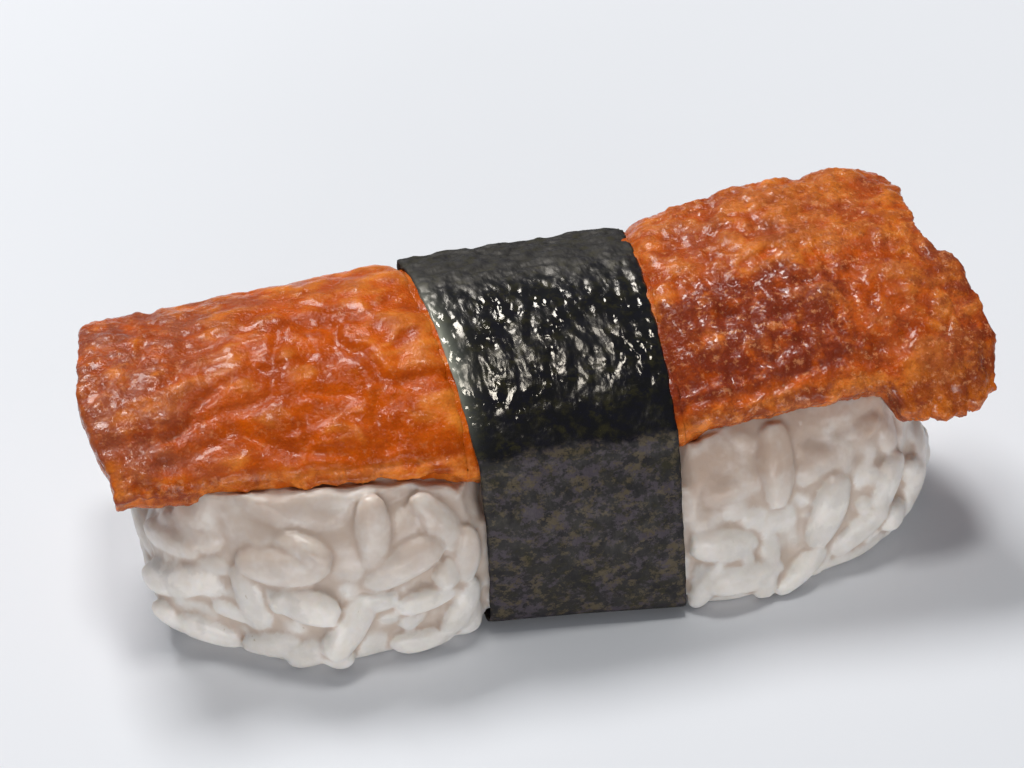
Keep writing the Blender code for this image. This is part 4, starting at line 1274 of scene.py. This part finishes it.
def grain_mesh(look, form, draw, frame_of, trees):
    """Points of one grain, moved or shortened until it is clear of the slab and the strip, or None."""
    size, centre, axis, out, proud = frame_of
    length, width, depth = (value / METRE * size for value in (look.length, look.width, look.depth))
    bend = draw.uniform(-0.35, 0.35)
    taper = draw.uniform(-0.18, 0.18)
    broad = draw.uniform(0.9, 1.12)
    seed = draw.uniform(0.0, 90.0)
    across = out.cross(axis).normalized()
    turn = np.array(Matrix((axis, across, axis.cross(across))).transposed())
    swell = 1.0 + taper * form[:, 0]
    shape = form.copy()
    shape[:, 1] = shape[:, 1] * swell * broad + bend * (1.0 - form[:, 0] ** 2) * 0.25
    shape[:, 2] = shape[:, 2] * swell * (1.0 - 0.10 * np.exp(-((form[:, 1] / 0.25) ** 2)))
    back = -(out + Vector((0.0, 0.0, 1.0))).normalized()
    for shrink, shift in GRAIN_SHIFTS:
        spots = shape * (length * shrink / 2, width / 2, depth / 2)
        dents = rough(spots[:, 0] * 0.5 + seed, spots[:, 1] * 0.6, spots[:, 2] * 0.6)
        spots = spots * (1.0 + 0.10 * dents)[:, None]
        spots = spots @ turn.T + np.array(centre + back * (shift if centre.z > 6.0 else 0.0))
        if centre.z > 1.3:
            spots[:, 2] += max(0.12 - spots[:, 2].min(), 0.0)
        spots[:, 2] = np.maximum(spots[:, 2], 0.06 + 0.03 * spots[:, 2])
        if (spots[:, 2] > grain_level(spots[:, 0], spots[:, 1]) + proud).any():
            continue
        probes = to_row(spots)[::2]
        free = all(
            clear_of(tree, Vector(p), GRAIN_CLEAR * METRE, sink)
            for p in probes for tree, sink in trees
        )
        if free and not over_strip(spots, trees[1][0]):
            return spots
    return None


def rice_piece(look):
    """The heap as one skin round its core and all its grains."""
    draw = random.Random(look.seed)
    trees = [(node_tree_of("tofu"), GRAIN_SINK * METRE), (node_tree_of("nori"), 0.0)]
    form, sides = unit_grain()
    core, core_faces = closed_core()
    normals = point_normals(core, core_faces)

    def make(item):
        return grain_mesh(look, form, draw, item, trees)

    outer, marked = outer_frames(draw, core, normals)
    grains = apart(outer, OUTER_APART, make, marked)
    grains += apart(inner_frames(draw, core, normals), INNER_APART, make)
    grains += [spots for spots in map(make, under_frames(draw)) if spots is not None]
    heap, heap_faces, marks = [core], [core_faces], []
    base = len(core)
    for spots in grains:
        tint = draw.random()
        heap.append(spots)
        heap_faces.append(sides + base)
        base += len(spots)
        marks += [(spot, tint) for spot in spots[::7]]
    points, faces = fused(np.concatenate(heap), np.concatenate(heap_faces))
    tree = KDTree(len(marks))
    for number, (spot, _) in enumerate(marks):
        tree.insert(spot, number)
    tree.balance()
    near = [tree.find(spot) for spot in points]
    tint = np.array([marks[found[1]][1] * (1.0 if found[2] < 2.0 else 0.5) for found in near])
    piece = new_piece("rice_heap", points, faces, rice_material(look), {
        "tint": tint, "soak": soaking_and_shade(points), "deep": cavities(points, faces),
    })
    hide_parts("rice")
    return piece


# Stage


def area_light(name, place, aim, size, power, colour):
    data = bpy.data.lights.new(name, "AREA")
    data.shape = "RECTANGLE"
    data.size, data.size_y = size
    data.energy = power
    data.color = colour
    light = bpy.data.objects.new(name, data)
    light.location = place
    light.rotation_euler = (Vector(aim) - Vector(place)).to_track_quat("-Z", "Y").to_euler()
    bpy.context.scene.collection.objects.link(light)


def make_stage(look):
    scene = bpy.context.scene
    mesh = bpy.data.meshes.new("floor")
    corners = [(x * FLOOR_HALF, y * FLOOR_HALF, 0.0) for x, y in ((-1, -1), (1, -1), (1, 1), (-1, 1))]
    mesh.from_pydata(corners, [], [(0, 1, 2, 3)])
    mesh.materials.append(floor_material(look))
    floor = bpy.data.objects.new("floor", mesh)
    scene.collection.objects.link(floor)
    world = bpy.data.worlds.new("sky")
    world.use_nodes = True
    board = Board(world.node_tree)
    around = board.add("ShaderNodeTexCoord").outputs["Generated"]
    toward = board.add("ShaderNodeSeparateXYZ", {"Vector": around})
    high = board.spread(toward.outputs["Z"], 0.0, 0.9, 0.12, 1.0)
    rear = board.spread(toward.outputs["Y"], -0.2, 1.0, 0.0, 0.45)
    background = world.node_tree.nodes["Background"]
    strength = board.times(board.plus(high, rear), look.sky_strength)
    board.tree.links.new(strength, background.inputs["Strength"])
    background.inputs["Color"].default_value = (*look.sky, 1.0)
    scene.world = world
    for name, setting, place, size, colour in LIGHTS:
        area_light(name, place, LIGHT_AIM, size, getattr(look, setting), colour)
    turn, rise = math.radians(CAMERA_TURN), math.radians(CAMERA_RISE)
    back = Vector((math.sin(turn) * math.cos(rise), -math.cos(turn) * math.cos(rise), math.sin(rise)))
    data = bpy.data.cameras.new("camera")
    data.lens = CAMERA_LENS
    data.sensor_width = 36.0
    data.clip_start = 0.01
    data.clip_end = 10.0
    camera = bpy.data.objects.new("camera", data)
    camera.location = Vector(CAMERA_AIM) + back * CAMERA_DISTANCE
    camera.rotation_euler = (-back).to_track_quat("-Z", "Y").to_euler()
    scene.collection.objects.link(camera)
    scene.camera = camera
    scene.view_settings.view_transform = "Standard"


# Operators, panel and registering


class NIGIRI_OT_tofu(bpy.types.Operator):
    """Make the seasoned tofu slab"""

    bl_idname = "nigiri.tofu"
    bl_label = "Tofu Slab"

    def execute(self, context):
        tofu_piece(context.scene.nigiri_tofu)
        return {"FINISHED"}


class NIGIRI_OT_rice(bpy.types.Operator):
    """Make the pressed rice and its grains"""

    bl_idname = "nigiri.rice"
    bl_label = "Rice"

    def execute(self, context):
        rice_piece(context.scene.nigiri_rice)
        return {"FINISHED"}


class NIGIRI_OT_nori(bpy.types.Operator):
    """Make the seaweed strip"""

    bl_idname = "nigiri.nori"
    bl_label = "Seaweed Strip"

    def execute(self, context):
        nori_piece(context.scene.nigiri_nori)
        return {"FINISHED"}


class NIGIRI_OT_stage(bpy.types.Operator):
    """Make the floor, the lights and the camera"""

    bl_idname = "nigiri.stage"
    bl_label = "Stage"

    def execute(self, context):
        make_stage(context.scene.nigiri_stage)
        return {"FINISHED"}


SETTINGS = (
    ("nigiri_tofu", NigiriTofuSettings),
    ("nigiri_rice", NigiriRiceSettings),
    ("nigiri_nori", NigiriNoriSettings),
    ("nigiri_stage", NigiriStageSettings),
)
OPERATORS = (NIGIRI_OT_tofu, NIGIRI_OT_rice, NIGIRI_OT_nori, NIGIRI_OT_stage)


class NIGIRI_PT_sidebar(bpy.types.Panel):
    """Sizes, colours and the steps that make the nigiri"""

    bl_idname = "NIGIRI_PT_sidebar"
    bl_label = "Tofu Nigiri"
    bl_space_type = "VIEW_3D"
    bl_region_type = "UI"
    bl_category = "Nigiri"

    def draw(self, context):
        for (label, group), operator in zip(SETTINGS, OPERATORS):
            box = self.layout.box()
            for setting in group.__annotations__:
                box.prop(getattr(context.scene, label), setting)
            box.operator(operator.bl_idname)


def register():
    for label, group in SETTINGS:
        bpy.utils.register_class(group)
        setattr(bpy.types.Scene, label, PointerProperty(type=group))
    for kind in (*OPERATORS, NIGIRI_PT_sidebar):
        bpy.utils.register_class(kind)


def unregister():
    for kind in (NIGIRI_PT_sidebar, *reversed(OPERATORS)):
        bpy.utils.unregister_class(kind)
    for label, group in reversed(SETTINGS):
        delattr(bpy.types.Scene, label)
        bpy.utils.unregister_class(group)


def main():
    register()
    bpy.ops.nigiri.tofu()
    bpy.ops.nigiri.rice()
    bpy.ops.nigiri.nori()
    bpy.ops.nigiri.stage()


if __name__ == "__main__":
    main()
